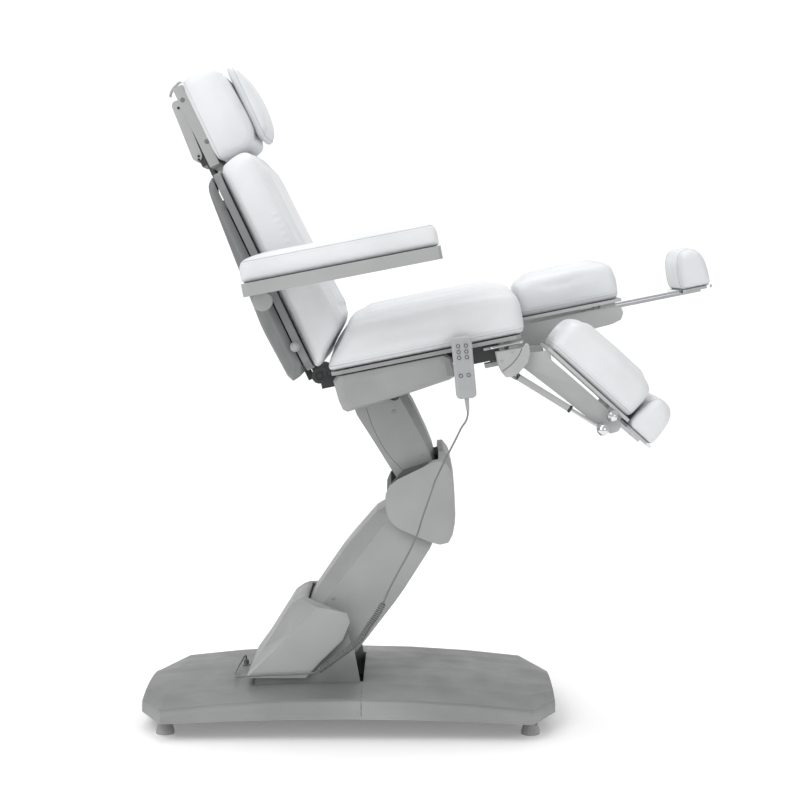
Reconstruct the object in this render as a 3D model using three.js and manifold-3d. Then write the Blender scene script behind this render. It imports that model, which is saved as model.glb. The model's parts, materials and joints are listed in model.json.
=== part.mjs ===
// A motorised podiatry chair: a split leg rest, a reclining back with a jointed headrest,
// and a seat carried by a two-arm lift on a low base. Millimetres, +Z up. X runs from the
// rear of the base to the feet and Y to the sitter's left.

import * as THREE from "three";
import { mergeVertices } from "three/addons/utils/BufferGeometryUtils.js";
import Module from "manifold-3d";

const wasm = await Module();
wasm.setup();

// Fits that all pieces share
const gap = 0.3;
const pinPlay = 0.3;
const overrun = 30;
const weldDistance = 0.001;
const coverWall = 4;
const armCoverWall = 3;
const armCornerRound = 18;
const kneeCornerRound = 10;
const cushionCornerRound = 14;
const mainPinRadius = 12;
const lugRadius = 26;
const plateThickness = 10;
const barSides = 16;
const thinBarSides = 10;
const thinBarRadius = 5;
const cornerMostShare = 0.42;
const screwBossRadius = 7;
const screwBossSides = 8;
const cushionEdgeShare = 0.75;
const cushionDrawShare = 0.03;

// Base: two lofted covers over a steel frame on four levelling feet
const baseLength = 902;
const baseWidth = 550;
const baseNoseWidth = 300;
const baseStraightLength = 790;
const baseEdgeHeight = 60;
const baseEdgeRise = 32;
const baseCrown = 14;
const baseSkirtHeight = 35;
const baseSkirtRise = 15;
const baseEdgeRound = 12;
const baseSeamX = 30;
const baseStationShares = [-1, -0.965, -0.876, -0.6, -0.3, 0, 0.3, 0.6, 0.876, 0.965, 1];
const armWellRearX = -150;
const armWellFrontX = 32;
const frameTop = 56;
const frameBottom = 38;
const framePlateThickness = 12;
const frameHalfWidth = 140;
const crossBeamWidth = 37;
const footX = 394;
const footY = 198;
const footPadRadius = 20;
const footPadHeight = 8;
const footNeckRadius = 15;
const footNeckHeight = 22;
const footNutRadius = 11;
const footStudRadius = 5;
const footStudTop = 60;
const forkInnerHalf = 121;
const forkFootLength = 130;
const liftPivotX = -80;
const liftPivotZ = 128;

// Pedestal cover and the collar that carries it
const collarInnerHalf = 146;
const collarWall = 6;
const humpHalfWidth = 162;
const humpShoulderHalf = 95;
const humpLength = 226;
const humpHeight = 219;
const humpRearX = -222;
const humpFootZ = 112;
const humpFaceShares = [
  [0, 0], [0.23, 0.242], [0.45, 0.466], [0.69, 0.712], [0.83, 0.685],
  [0.97, 0.653], [1, 0.566], [0.93, 0.384], [0.71, 0.16], [0.57, 0],
];
const humpSkinShares = [
  [0, 0], [0.15, 0.242], [0.42, 0.685], [0.5, 0.742], [0.55, 0.762],
  [0.575, 0.75], [0.66, 0.62], [0.74, 0.402], [0.73, 0.16], [0.57, 0],
];
const collarShares = [
  [0.08, -0.123], [0.08, 0.018], [0.32, 0.018], [0.72, 0.425],
  [0.89, 0.53], [0.97, 0.457], [1.04, 0.256], [1.11, -0.123],
];

// Lift arms, each a steel channel in a moulded cover
const lowerArmLength = 397.3;
const lowerArmAngle = 54.63;
const lowerArmDepth = 150;
const lowerArmFaceHalf = 110;
const lowerArmCrownHalf = 65;
const lowerBeamHalf = 90;
const upperArmLength = 248.2;
const upperArmAngle = 117.6;
const upperArmDepth = 115;
const upperArmFaceHalf = 100;
const upperArmCrownHalf = 70;
const upperBeamHalf = 80;
const beamHalfDepth = 22;
const beamPlate = 14;
const beamWeb = 10;
const driveRadius = 18;
const driveLengthShare = 0.6;
const lowerFaceShares = [
  [-0.43, 0.045], [-0.41, 0.317], [-0.39, 0.567], [-0.35, 0.904], [-0.29, 0.992], [0, 1.09],
  [0.28, 1.053], [0.39, 0.957], [0.44, 0.602], [0.41, 0.264], [0.37, 0.045],
];
const lowerSkinShares = [
  [-0.56, 0.045], [-0.59, 0.378], [-0.6, 0.632], [-0.52, 0.937], [-0.35, 1.003], [0, 1.093],
  [0.28, 1.055], [0.39, 0.957], [0.44, 0.602], [0.41, 0.264], [0.37, 0.045],
];
const upperFaceShares = [
  [-0.37, 0.032], [-0.4, 0.161], [-0.45, 0.484], [-0.52, 0.855], [-0.4, 1.02], [0, 1.14],
  [0.26, 1.05], [0.34, 0.907], [0.37, 0.722], [0.39, 0.419], [0.38, 0.121], [0.27, -0.081],
  [0, -0.135], [-0.26, -0.081],
];
const upperSkinShares = [
  [-0.37, 0.032], [-0.4, 0.161], [-0.45, 0.484], [-0.52, 0.855], [-0.4, 1.02], [0, 1.145],
  [0.27, 1.05], [0.47, 0.855], [0.53, 0.714], [0.5, 0.29], [0.44, 0.145], [0.28, -0.081],
  [0, -0.14], [-0.26, -0.081],
];

// Knee: a level block between the two arms, in a cover that is open to the rear
const kneeStepX = 10;
const kneeStepZ = 83;
const kneeHalfWidth = 135;
const kneeCrownHalf = 118;
const kneeDepth = 154;
const kneeHeight = 209;
const kneeRearReach = 72;
const kneeDrop = 52;
const kneeFaceShares = [
  [0.03, 0.574], [0.01, 0.474], [0.03, 0.316], [0.15, 0.187], [0.51, 0.072], [0.71, 0.01],
  [0.86, 0], [0.95, 0.053], [1, 0.263], [0.98, 0.579], [0.93, 0.809], [0.84, 0.871],
  [0.73, 0.88], [0.12, 0.66],
];
const kneeSkinShares = [
  [0.03, 0.574], [0.01, 0.474], [0.03, 0.316], [0.15, 0.187], [0.51, 0.072], [0.71, 0.01],
  [0.86, 0], [0.96, 0.053], [1.01, 0.263], [0.99, 0.579], [0.96, 0.837], [0.89, 0.957],
  [0.79, 1], [0.12, 0.66],
];
const kneeOpenShares = [
  [-0.22, -0.196], [0.75, -0.196], [0.79, 0.048], [0.88, 0.086], [0.96, 0.263],
  [0.945, 0.574], [0.89, 0.794], [0.83, 0.842], [0.765, 0.861], [0.76, 1.248], [-0.22, 1.248],
];
const kneeBlockShares = [
  [0.08, 0.335], [0.08, 0.622], [0.27, 0.78], [0.61, 0.86], [0.83, 0.78],
  [0.9, 0.383], [0.82, 0.12], [0.29, 0.172],
];

// Tilt carriage on top of the upper arm
const carriageInnerHalf = 104;
const carriagePlate = 8;
const carriageLeverX = 55;
const carriageLeverDrop = 30;
const carriageEyeRadius = 12;

// Seat, in a frame that tilts about the carriage pin
const seatTilt = 11.4;
const seatRailInnerHalf = 116;
const seatRailWidth = 12;
const seatRailFoot = 5;
const seatRailTop = 33;
const seatCrossHalf = 238;
const seatCoverHalf = 260;
const seatCoverLength = 258;
const seatCoverDepth = 82;
const seatCoverRound = 16;
const coverCornerRound = 12;
const seatTrayFoot = 35;
const seatTrayTop = 43;
const seatTrayRearX = -70;
const seatTrayCorner = 24;
const seatWellRearX = -54;
const seatWellHalf = 114.5;
const seatCoverShares = [
  [-0.27, 0.439], [-0.25, -0.39], [-0.22, -0.549], [-0.18, -0.561], [-0.14, -0.524],
  [0.24, -0.427], [0.71, -0.244], [0.72, -0.146], [0.71, 0.439],
];
const seatCushionHalf = 280;
const seatCushionLength = 426;
const seatCushionHeight = 92;
const seatCushionRearX = -77;
const seatFrontX = seatCushionRearX + seatCushionLength;
const seatTraySetback = 13;
const seatTrayFrontX = seatFrontX - seatTraySetback;
const legPivotSetback = 34;
const legPivotX = seatFrontX - legPivotSetback;
const swingPinSetback = 45;
const swingPinX = legPivotX - swingPinSetback;
const seatCrossReach = 15;
const seatCrossFrontX = swingPinX + seatCrossReach;
const seatCrossLength = 85;
const seatCrossRearX = seatCrossFrontX - seatCrossLength;
const cushionEndRound = 30;
const padEndRound = 22;
const smallPadEndRound = 20;
const armRestEndRound = 16;
const seatCushionFoot = 43.4;
const seatCushionCrown = 24;
const seatCushionShares = [
  [0, 0.08], [0.012, 0], [0.98, 0], [0.992, 0.06], [1, 0.22], [1, 0.8], [0.965, 0.95],
  [0.88, 1], [0.55, 1.01], [0.26, 1.005], [0.18, 0.985], [0.145, 0.92], [0.008, 0.2],
];

// Back rest, hinged behind the seat
const reclinePinRadius = 9;
const reclineLugRadius = 17;
const reclineX = -102.3;
const reclineZ = 33.9;
const backLean = 14.1;
const backUprightRearX = -26;
const backUprightFrontX = -12;
const backUprightInnerHalf = 100;
const backUprightWidth = 12;
const backUprightTop = 430;
const backCrossZ = 195;
const backCrossX = -25;
const backCrossRadius = 14;
const backCrossHalf = 254;
const postGuideFoot = 400;
const postGuideTop = 425;
const postGuideRearX = -31;
const backShellHalf = 258;
const backShellDepth = 57;
const backShellHeight = 474;
const backShellRound = 18;
const backShellShares = [
  [-0.16, 1], [-0.36, 0.994], [-0.54, 0.965], [-0.62, 0.9], [-0.81, 0.62], [-1, 0.302],
  [-0.9, 0.045], [-0.7, 0.034], [-0.16, 0.06],
];
const backBoardHalf = 266;
const backBoardRearX = -10;
const backBoardFrontX = 5;
const backBoardFoot = 24;
const backBoardTop = 478;
const backBoardCorner = 40;
const backCushionHalf = 270;
const backCushionDepth = 99;
const backCushionHeight = 481;
const backCushionRearX = 5.4;
const backCushionFoot = 17;
const backCushionCrown = 8;
const backCushionShares = [
  [0, 0.02], [0.06, 0], [0.19, 0.005], [0.27, 0.03], [0.93, 0.135], [0.965, 0.17],
  [0.93, 0.28], [0.87, 0.5], [0.845, 0.75], [0.83, 0.92], [0.76, 0.985], [0.6, 1],
  [0.25, 0.99], [0.06, 0.975], [0, 0.94],
];

// Headrest on two posts, a link and a tilting plate
const postInnerHalf = 35;
const postWidth = 20;
const postRearX = -27;
const postFrontX = -19;
const postFoot = 330;
const postTop = 530;
const linkPivotX = -38;
const linkPivotZ = 545;
const linkPinRadius = 4;
const linkEyeRadius = 11;
const linkInnerHalf = 52;
const linkPlate = 8;
const headPivotX = -30;
const headPivotZ = 662;
const headPlateRearX = -18;
const headPlateFrontX = 4;
const headPlateHalf = 120;
const headPlateFoot = 505;
const headPlateTop = 690;
const headCushionHalf = 160;
const headCushionDepth = 96;
const headCushionHeight = 197;
const headCushionRearX = 4.4;
const headCushionFoot = 502;
const headCushionCrown = 5;
const headCushionShares = [
  [0, 0.08], [0.06, 0], [0.5, -0.005], [0.88, 0.02], [0.95, 0.08], [0.97, 0.3],
  [0.94, 0.65], [0.9, 0.85], [0.83, 0.97], [0.7, 1], [0.3, 0.995], [0.06, 0.985], [0, 0.92],
];
const pillowHalf = 120;
const pillowDepth = 36;
const pillowHeight = 176;
const pillowRearX = 102.2;
const pillowFoot = 510;
const pillowCrown = 3;
const pillowShares = [
  [0, 0.06], [0.12, 0], [0.42, 0.01], [0.8, 0.1], [0.97, 0.3], [1, 0.5],
  [0.9, 0.75], [0.66, 0.92], [0.4, 0.99], [0.12, 1], [0, 0.94],
];

// Arm rests, hinged on the ends of the back's cross tube
const armRestAngle = -14.5;
const armRestInnerY = 310;
const armRestWidth = 100;
const armRestRearX = -29.3;
const armRestLength = 408;
const armRestFoot = 15.8;
const armRestBaseHeight = 27;
const armRestBaseCorner = 14;
const armRestCushionHeight = 50;
const armRestCushionCrown = 3;
const armRestPinRadius = 9;
const armRestBossRadius = 20;
const armRestBossWidth = 20;
const armRestBossY = 299;
const armRestHoleRadius = 14.6;
const armRestPinInnerY = 236;
const armRestCushionShares = [
  [0, 0.06], [0.01, 0], [0.99, 0], [1, 0.06], [1, 0.6], [0.985, 0.84], [0.95, 0.97],
  [0.85, 1], [0.15, 1], [0.05, 0.97], [0.015, 0.84], [0, 0.6],
];

// Leg rests: each swings out on a pin and tilts on an axle in its bracket
const legCentreY = 140;
const swingPinY = 225;
const swingPinRadius = 8;
const legPivotZ = 3.8;
const legAxleRadius = 10;
const legAxleInnerY = 28;
const rightLegTilt = -53.4;
const leftLegTilt = 0;
const bracketPlateTop = -4.3;
const bracketPlateThickness = 9;
const bracketPinRoom = 20;
const bracketRearX = swingPinX - bracketPinRoom;
const bracketAxleRoom = 13;
const bracketFrontX = legPivotX + bracketAxleRoom;
const bracketInnerY = 195;
const bracketOuterY = 240;
const hingeCoverInnerY = 264.5;
const hingeCoverOuterY = 274;
const hingeCoverSize = 72;
const hingeCoverEdgeShares = [
  [-0.56, 0.208], [0.26, 0.167], [0.36, 0.278], [0.44, 0.236], [0.43, 0], [0.32, -0.278],
  [0.01, -0.528], [-0.21, -0.611], [-0.39, -0.583], [-0.49, -0.403], [-0.56, -0.139],
];
const hingeCoverFaceShares = [
  [-0.53, 0.181], [0.22, 0.153], [0.32, 0.222], [0.29, 0.111], [0.22, -0.028], [0.08, -0.125],
  [-0.11, -0.264], [-0.28, -0.361], [-0.44, -0.403], [-0.49, -0.333], [-0.53, -0.111],
];
const sideRailRadius = 3;
const sideRailY = 253.5;
const sideRailRise = 23;
const sideRailRearX = -62;
const sideRailFrontX = 23;
const legPlateInner = 103;
const legPlateWidth = 6;
const legPlateLength = 270;
const legPlateHeight = 60;
const legPlateShares = [
  [-0.05, -0.233], [0, -0.333], [0.05, -0.267], [0.13, -0.133], [0.5, 0], [0.89, 0.1],
  [0.97, 0.2], [1, 0.433], [0.99, 0.667], [0.93, 0.767], [0.56, 0.75], [0.24, 0.717],
  [0.21, 0.833], [0.19, 0.883], [0.16, 0.85], [0.13, 0.65], [0.09, 0.467], [0.04, 0.333],
  [0, 0.333], [-0.05, 0.233], [-0.07, 0],
];
const legTrayRearX = 44;
const legTrayFrontX = 270;
const legTrayFoot = 53;
const legTrayTop = 60;
const legTrayHalf = 118;
const calfCushionHalf = 125;
const calfCushionRearX = 39;
const calfCushionLength = 231;
const calfCushionHeight = 85;
const calfCushionCrown = 8;
const calfCushionShares = [
  [0.02, 0.04], [0.035, 0], [0.98, 0], [0.992, 0.05], [1, 0.3], [0.995, 0.75], [0.96, 0.93],
  [0.86, 1], [0.5, 1.01], [0.12, 0.98], [0.04, 0.9], [0, 0.76], [0.01, 0.4],
];
const footSlideRearX = 60;
const footSlideBarFrontX = 322;
const footSlideBarFoot = 37;
const footSlideTrayFoot = 43.5;
const footSlideTrayTop = 49.5;
const footSlideTrayHalf = 110;
const footSlideTrayRearX = 270;
const footSlideTrayFrontX = 345;
const footBarInner = 50;
const footBarWidth = 20;
const leftFootExtension = 133;
const slideGuideRearX = 222;
const slideGuideFrontX = 256;
const slideGuideFoot = 28;
const footCushionHalf = 124;
const footCushionRearX = 273.5;
const footCushionLength = 70;
const footCushionHeight = 86;
const footCushionCrown = 5;
const footCushionShares = [
  [0.02, 0.05], [0.05, 0], [0.95, 0], [1, 0.08], [1, 0.3], [0.93, 0.7], [0.8, 0.9],
  [0.58, 1], [0.3, 1], [0.14, 0.93], [0.04, 0.7], [0, 0.3],
];
const knobX = 237;
const knobZ = 41;
const knobRadius = 13;
const knobStemRadius = 4;
const knobCentreY = 124;
const knobStemInner = 90;

// Gas spring at the outer side of each leg rest
const springY = 116;
const springRadius = 7;
const springRodRadius = 4;
const springTubeLength = 138;
const springTopX = -8;
const springTopZ = -42;
const springFootX = 239;
const springFootZ = 7;
const springFootPinRadius = 3;
const springEyeRadius = 11;
const springEyeBore = 7.7;
const springEyeWidth = 8;
const springBoreStart = 62;
const springRodLength = 142;
const springFootBallRadius = 12;
const springFootBallY = 133;

// Handset on its holder at the right of the seat, with eight keys
const handsetX = 204.4;
const handsetZ = 1.6;
const handsetAngle = -5.9;
const handsetWidth = 42;
const handsetLength = 128;
const handsetThickness = 20.5;
const handsetBackY = 290.3;
const handsetCorner = 9;
const handsetBevel = 2.5;
const holderWidth = 20;
const holderFoot = 25;
const holderInnerY = 250;
const reliefLength = 25;
const reliefTopRadius = 4.6;
const reliefTipRadius = 3.2;
const reliefRidgeCount = 4;
const reliefRidgeRearShare = 0.06;
const reliefRidgeFrontShare = 0.04;
const keyRadius = 4;
const keyRise = 1.2;
const keyTravel = 0.8;
const keyThickness = 2.6;
const keyColumn = 8;
const keyRows = [45, 33, 21, -16];

// Cord from the base to the handset: a run, a curly stretch, a run to the seat's side and
// the run that moves with the seat. The route is chosen by hand.
const cordRadius = 2;
const cordSides = 8;
const cordMostSteps = 80;
const coilSides = 5;
const coilStepsPerCurl = 8;
const coilCurls = 44;
const coilOuterRadius = 7.5;
const plugX = -240;
const plugY = 36;
const plugRadius = 6;
const plugFoot = 98;
const plugTop = 108;
const plugStemRadius = 4;
const plugStemFoot = 86;
const socketRadius = 10;
const socketFoot = 90;
const lowerRunRoute = [
  [-68.9, -178.4, 128.4], [-72.2, -176.6, 127], [-96, -173, 124], [-130, -171, 122],
  [-165, -170.5, 121], [-200, -171, 119], [-226, -168, 117], [-242, -155, 113],
  [-250, -130, 109], [-253, -95, 106], [-253, -50, 105], [-251, -15, 107], [-247, 8, 112],
  [-243, 23, 118], [-240.6, 32, 118.5], [-240, 36, 113], [-240, 36, 108.3],
];
const coilRoute = [
  [79, -202, 290], [74, -200.5, 279], [61, -198, 256], [45, -195, 233], [28, -192, 206],
  [6, -188, 185], [-21, -184, 164], [-46, -181, 145], [-68.3, -178.8, 128.8],
];
const upperRunRoute = [
  [79.2, -202.1, 290.4], [80.6, -202.5, 294.2], [88, -205, 312], [100, -210, 337],
  [113, -216, 362], [128, -224, 391], [142, -233, 421], [150, -245, 442], [155, -258, 460],
  [160.5, -268, 480], [168, -272, 503], [176, -272, 526], [184, -272, 550],
  [186.8, -272.3, 558.4], [188, -273.7, 561.5], [188.2, -275.85, 562],
];
const handsetRunRoute = [
  [188.2, -276.15, 562], [188.6, -278.8, 562.9], [190, -281.3, 566], [193, -282, 572.5],
  [205, -284, 599], [217, -288, 623], [229, -292, 647], [240.5, -296, 671],
  [250, -299, 686], [253.4, -300.4, 698], [253.9, -300.55, 704.2], [253.56, -300.55, 708.1],
];

const materials = {
  cushion: ["#e6e8ea", 0.55, 0],
  cover: ["#9c9f9e", 0.5, 0],
  baseCover: ["#949796", 0.5, 0],
  backShell: ["#7c7d7d", 0.55, 0],
  plate: ["#b2b2b1", 0.45, 0.2],
  steel: ["#232426", 0.5, 0.4],
  chrome: ["#d5d7d9", 0.12, 1],
  knob: ["#1b1c1d", 0.35, 0],
  foot: ["#5e5e5e", 0.7, 0],
  rubber: ["#2b2c2e", 0.8, 0],
  handset: ["#b9bbbb", 0.5, 0],
  key: ["#e9eaea", 0.5, 0],
  cord: ["#6d6f70", 0.6, 0],
};

// A joint's frame: a group at a pivot, turned about the Y axis so that +X rises by the angle
function frameAt(parent, x, z, degrees = 0, y = 0) {
  const group = new THREE.Group();
  group.position.set(x, y, z);
  group.rotation.y = -THREE.MathUtils.degToRad(degrees);
  parent.add(group);
  return group;
}

// A closed geometry as a solid with its faces out
function solid(geometry) {
  const loose = geometry.index ? geometry.toNonIndexed() : geometry.clone();
  const bare = new THREE.BufferGeometry().setAttribute("position", loose.getAttribute("position"));
  const merged = mergeVertices(bare, weldDistance);
  const vertProperties = merged.attributes.position.array;
  const triVerts = new Uint32Array(merged.index.array);
  const made = new wasm.Manifold(new wasm.Mesh({ numProp: 3, vertProperties, triVerts }));
  if (made.volume() > 0) return made;
  triVerts.reverse();
  return new wasm.Manifold(new wasm.Mesh({ numProp: 3, vertProperties, triVerts }));
}

// A solid as a named mesh in its group, with flat faces
function addPiece(group, name, shape, [color, roughness, metalness]) {
  const { numProp, vertProperties, triVerts } = shape.getMesh();
  const position = new Float32Array((vertProperties.length / numProp) * 3);
  for (let i = 0; i * numProp < vertProperties.length; i += 1) {
    position.set(vertProperties.subarray(i * numProp, i * numProp + 3), i * 3);
  }
  const indexed = new THREE.BufferGeometry();
  indexed.setAttribute("position", new THREE.BufferAttribute(position, 3));
  indexed.setIndex(new THREE.BufferAttribute(triVerts, 1));
  const geometry = indexed.toNonIndexed();
  geometry.computeVertexNormals();
  const material = new THREE.MeshStandardMaterial({ color, roughness, metalness });
  const mesh = new THREE.Mesh(geometry, material);
  mesh.name = name;
  group.add(mesh);
  return mesh;
}

function join(first, ...rest) {
  return rest.reduce((sum, shape) => sum.add(shape), first);
}

function cut(first, ...rest) {
  return rest.reduce((left, shape) => left.subtract(shape), first);
}

function box(x0, x1, y0, y1, z0, z1) {
  const geometry = new THREE.BoxGeometry(Math.abs(x1 - x0), Math.abs(y1 - y0), Math.abs(z1 - z0));
  return solid(geometry.translate((x0 + x1) / 2, (y0 + y1) / 2, (z0 + z1) / 2));
}

// A thin bar has fewer sides, but enough that it turns freely in its bore
function sidesFor(radius) {
  return radius < thinBarRadius ? thinBarSides : barSides;
}

// A round bar along Y, or along Z
function barY(x, z, radius, y0, y1, sides = sidesFor(radius)) {
  const geometry = new THREE.CylinderGeometry(radius, radius, Math.abs(y1 - y0), sides);
  return solid(geometry.translate(x, (y0 + y1) / 2, z));
}

function barZ(x, y, radius, z0, z1, sides = sidesFor(radius)) {
  const geometry = new THREE.CylinderGeometry(radius, radius, Math.abs(z1 - z0), sides);
  return solid(geometry.rotateX(Math.PI / 2).translate(x, y, (z0 + z1) / 2));
}

function barX(x0, x1, y, z, radius, sides = sidesFor(radius)) {
  const geometry = new THREE.CylinderGeometry(radius, radius, Math.abs(x1 - x0), sides);
  return solid(geometry.rotateZ(Math.PI / 2).translate((x0 + x1) / 2, y, z));
}

// A round bar in an XZ plane, from a point along an angle above +X
function barAlong(x, y, z, degrees, from, to, radius, sides = 10) {
  const angle = THREE.MathUtils.degToRad(degrees);
  const geometry = new THREE.CylinderGeometry(radius, radius, to - from, sides);
  geometry.rotateZ(-Math.PI / 2).translate((from + to) / 2, 0, 0);
  return solid(geometry.rotateY(-angle).translate(x, y, z));
}

function ball(x, y, z, radius) {
  return solid(new THREE.SphereGeometry(radius, 12, 7).translate(x, y, z));
}

// A revolved profile of radius and height pairs, standing on Z at a place
function revolve(profile, x, y, z, sides = 16) {
  const points = profile.map(([radius, height]) => new THREE.Vector2(radius, height));
  return solid(new THREE.LatheGeometry(points, sides).rotateX(Math.PI / 2).translate(x, y, z));
}

// Outline points from shares of a width and a height, in counterclockwise order
function outline(shares, width, height, x0 = 0, z0 = 0) {
  const points = shares.map(([u, v]) => new THREE.Vector2(x0 + u * width, z0 + v * height));
  return THREE.ShapeUtils.area(points) < 0 ? points.reverse() : points;
}

// The same outline with each corner turned into an arc that starts a length before it
function soften(points, round, steps = 1) {
  return points.flatMap((corner, i) => {
    const towards = (other) => {
      const share = Math.min(cornerMostShare, round / corner.distanceTo(other));
      return corner.clone().lerp(other, share);
    };
    const arc = new THREE.QuadraticBezierCurve(
      towards(points.at(i - 1)), corner, towards(points[(i + 1) % points.length]),
    );
    return arc.getPoints(steps);
  });
}

function inset(points, distance) {
  return points.map((point, i) => {
    const along = points[(i + 1) % points.length].clone().sub(points.at(i - 1)).normalize();
    return new THREE.Vector2(point.x - along.y * distance, point.y + along.x * distance);
  });
}

// An outline drawn in towards its middle by a distance on each side
function shrink(points, distance) {
  const bounds = new THREE.Box2().setFromPoints(points);
  const middle = bounds.getCenter(new THREE.Vector2());
  const size = bounds.getSize(new THREE.Vector2());
  return points.map((point) => new THREE.Vector2(
    middle.x + (point.x - middle.x) * (1 - (2 * distance) / size.x),
    middle.y + (point.y - middle.y) * (1 - (2 * distance) / size.y),
  ));
}

// An outline in XZ extruded across Y, with an optional bevel round both faces
function slab(points, y0, y1, bevel = 0) {
  const geometry = new THREE.ExtrudeGeometry(new THREE.Shape(points), {
    depth: Math.abs(y1 - y0) - 2 * bevel,
    bevelEnabled: bevel > 0,
    bevelThickness: bevel,
    bevelSize: bevel,
    bevelOffset: -bevel,
    bevelSegments: 1,
  });
  return solid(geometry.rotateX(Math.PI / 2).translate(0, Math.max(y0, y1) - bevel, 0));
}

// A rectangle in XY with round corners, extruded up Z
function board(x0, x1, y0, y1, z0, z1, corner) {
  const points = roundedRectangle(x0, x1, y0, y1, corner);
  const depth = z1 - z0;
  const geometry = new THREE.ExtrudeGeometry(new THREE.Shape(points), { depth, bevelEnabled: false });
  return solid(geometry.translate(0, 0, z0));
}

// The same standing on edge: the rectangle is in YZ and its thickness runs along X
function panel(x0, x1, y0, y1, z0, z1, corner) {
  const points = roundedRectangle(y0, y1, z0, z1, corner);
  const depth = x1 - x0;
  const geometry = new THREE.ExtrudeGeometry(new THREE.Shape(points), { depth, bevelEnabled: false });
  return solid(geometry.rotateX(Math.PI / 2).rotateZ(Math.PI / 2).translate(x0, 0, 0));
}

function roundedRectangle(x0, x1, y0, y1, corner, steps = 3) {
  const centres = [[x1, y1], [x0, y1], [x0, y0], [x1, y0]];
  return centres.flatMap(([x, y], quarter) => {
    const cx = x === x1 ? x - corner : x + corner;
    const cy = y === y1 ? y - corner : y + corner;
    return Array.from({ length: steps + 1 }, (_, i) => {
      const angle = (Math.PI / 2) * (quarter + i / steps);
      return new THREE.Vector2(cx + corner * Math.cos(angle), cy + corner * Math.sin(angle));
    });
  });
}

// A skin over a row of outlines that have the same number of points, closed at both ends
function loft(sections, place) {
  const count = sections[0].points.length;
  const positions = sections.flatMap(({ at, points }) => points.flatMap((p) => place(at, p)));
  const index = [];
  for (let s = 0; s + 1 < sections.length; s += 1) {
    for (let i = 0; i < count; i += 1) {
      const here = s * count + i;
      const next = s * count + ((i + 1) % count);
      index.push(here, next, next + count, here, next + count, here + count);
    }
  }
  const lastStart = (sections.length - 1) * count;
  THREE.ShapeUtils.triangulateShape(sections[0].points, []).forEach(([a, b, c]) => {
    index.push(c, b, a);
  });
  THREE.ShapeUtils.triangulateShape(sections.at(-1).points, []).forEach(([a, b, c]) => {
    index.push(lastStart + a, lastStart + b, lastStart + c);
  });
  const geometry = new THREE.BufferGeometry();
  geometry.setAttribute("position", new THREE.Float32BufferAttribute(positions, 3));
  geometry.setIndex(index);
  return solid(geometry);
}

const acrossY = (at, p) => [p.x, at, p.y];
const alongX = (at, p) => [at, p.x, p.y];

// A form with flat faces at its sides and a fuller outline over its middle
function crownedForm(face, skin, faceHalf, crownHalf) {
  const sections = [
    { at: -faceHalf, points: face },
    { at: -crownHalf, points: skin },
    { at: crownHalf, points: skin },
    { at: faceHalf, points: face },
  ];
  return loft(sections, acrossY);
}

// An extruded form whose side edges are rounded, from its outline in XZ
function pillowForm(points, half, round, y = 0) {
  const turns = [-1, -0.7, 0, 0, 0.7, 1];
  const sections = turns.map((turn, i) => {
    const reach = half - round + round * Math.abs(turn);
    const side = i < turns.length / 2 ? -1 : 1;
    return { at: y + side * reach, points: shrink(points, round * (1 - Math.sqrt(1 - turn * turn))) };
  });
  return loft(sections, acrossY);
}

// A stuffed cushion: its outline in XZ is carried across Y, its ends are rounded, the side
// that bears the sitter is crowned, and its flanks are drawn in towards the board behind it
function cushion(points, half, round, crown, bears, y = 0) {
  const xs = points.map((p) => p.x);
  const zs = points.map((p) => p.y);
  const low = bears === "z" ? Math.min(...zs) : Math.min(...xs);
  const high = bears === "z" ? Math.max(...zs) : Math.max(...xs);
  const stations = [
    { share: 1, turn: 1 }, { share: 1, turn: 0.6 },
    { share: 1, turn: 0 }, { share: 0.55, turn: 0 }, { share: 0.15, turn: 0 },
  ];
  const row = [...stations.map((s) => ({ ...s, side: -1 })), ...stations.reverse().map((s) => ({ ...s, side: 1 }))];
  const sections = row.map(({ share, turn, side }) => {
    const reach = (half - round) * share + round * turn;
    const pulled = shrink(points, round * (1 - Math.sqrt(1 - turn * turn)) * cushionEdgeShare);
    const lift = crown * (1 - (reach / half) ** 2);
    const shaped = pulled.map((p) => {
      const height = ((bears === "z" ? p.y : p.x) - low) / (high - low);
      const rise = lift * Math.max(0, height) ** 2;
      return bears === "z" ? new THREE.Vector2(p.x, p.y + rise) : new THREE.Vector2(p.x + rise, p.y);
    });
    return { at: y + side * reach, points: shaped, drawn: reach / half };
  });
  const place = (at, p) => {
    const height = ((bears === "z" ? p.y : p.x) - low) / (high - low);
    const narrow = 1 - cushionDrawShare * (1 - Math.min(1, Math.max(0, height)));
    return [p.x, y + (at - y) * narrow, p.y];
  };
  return loft(sections, place);
}

// A tube along hand-chosen points, as a many-sided section carried along a curve
function tube(route, radius, sides, step) {
  const curve = new THREE.CatmullRomCurve3(route.map((p) => new THREE.Vector3(...p)), false, "centripetal");
  const section = Array.from({ length: sides }, (_, i) => {
    const angle = (2 * Math.PI * i) / sides;
    return new THREE.Vector2(radius * Math.cos(angle), radius * Math.sin(angle));
  });
  const steps = Math.min(cordMostSteps, Math.round(curve.getLength() / step));
  const shape = new THREE.Shape(section);
  return solid(new THREE.ExtrudeGeometry(shape, { steps, extrudePath: curve, bevelEnabled: false }));
}

const chair = new THREE.Group();
chair.name = "podiatry_chair";

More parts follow.
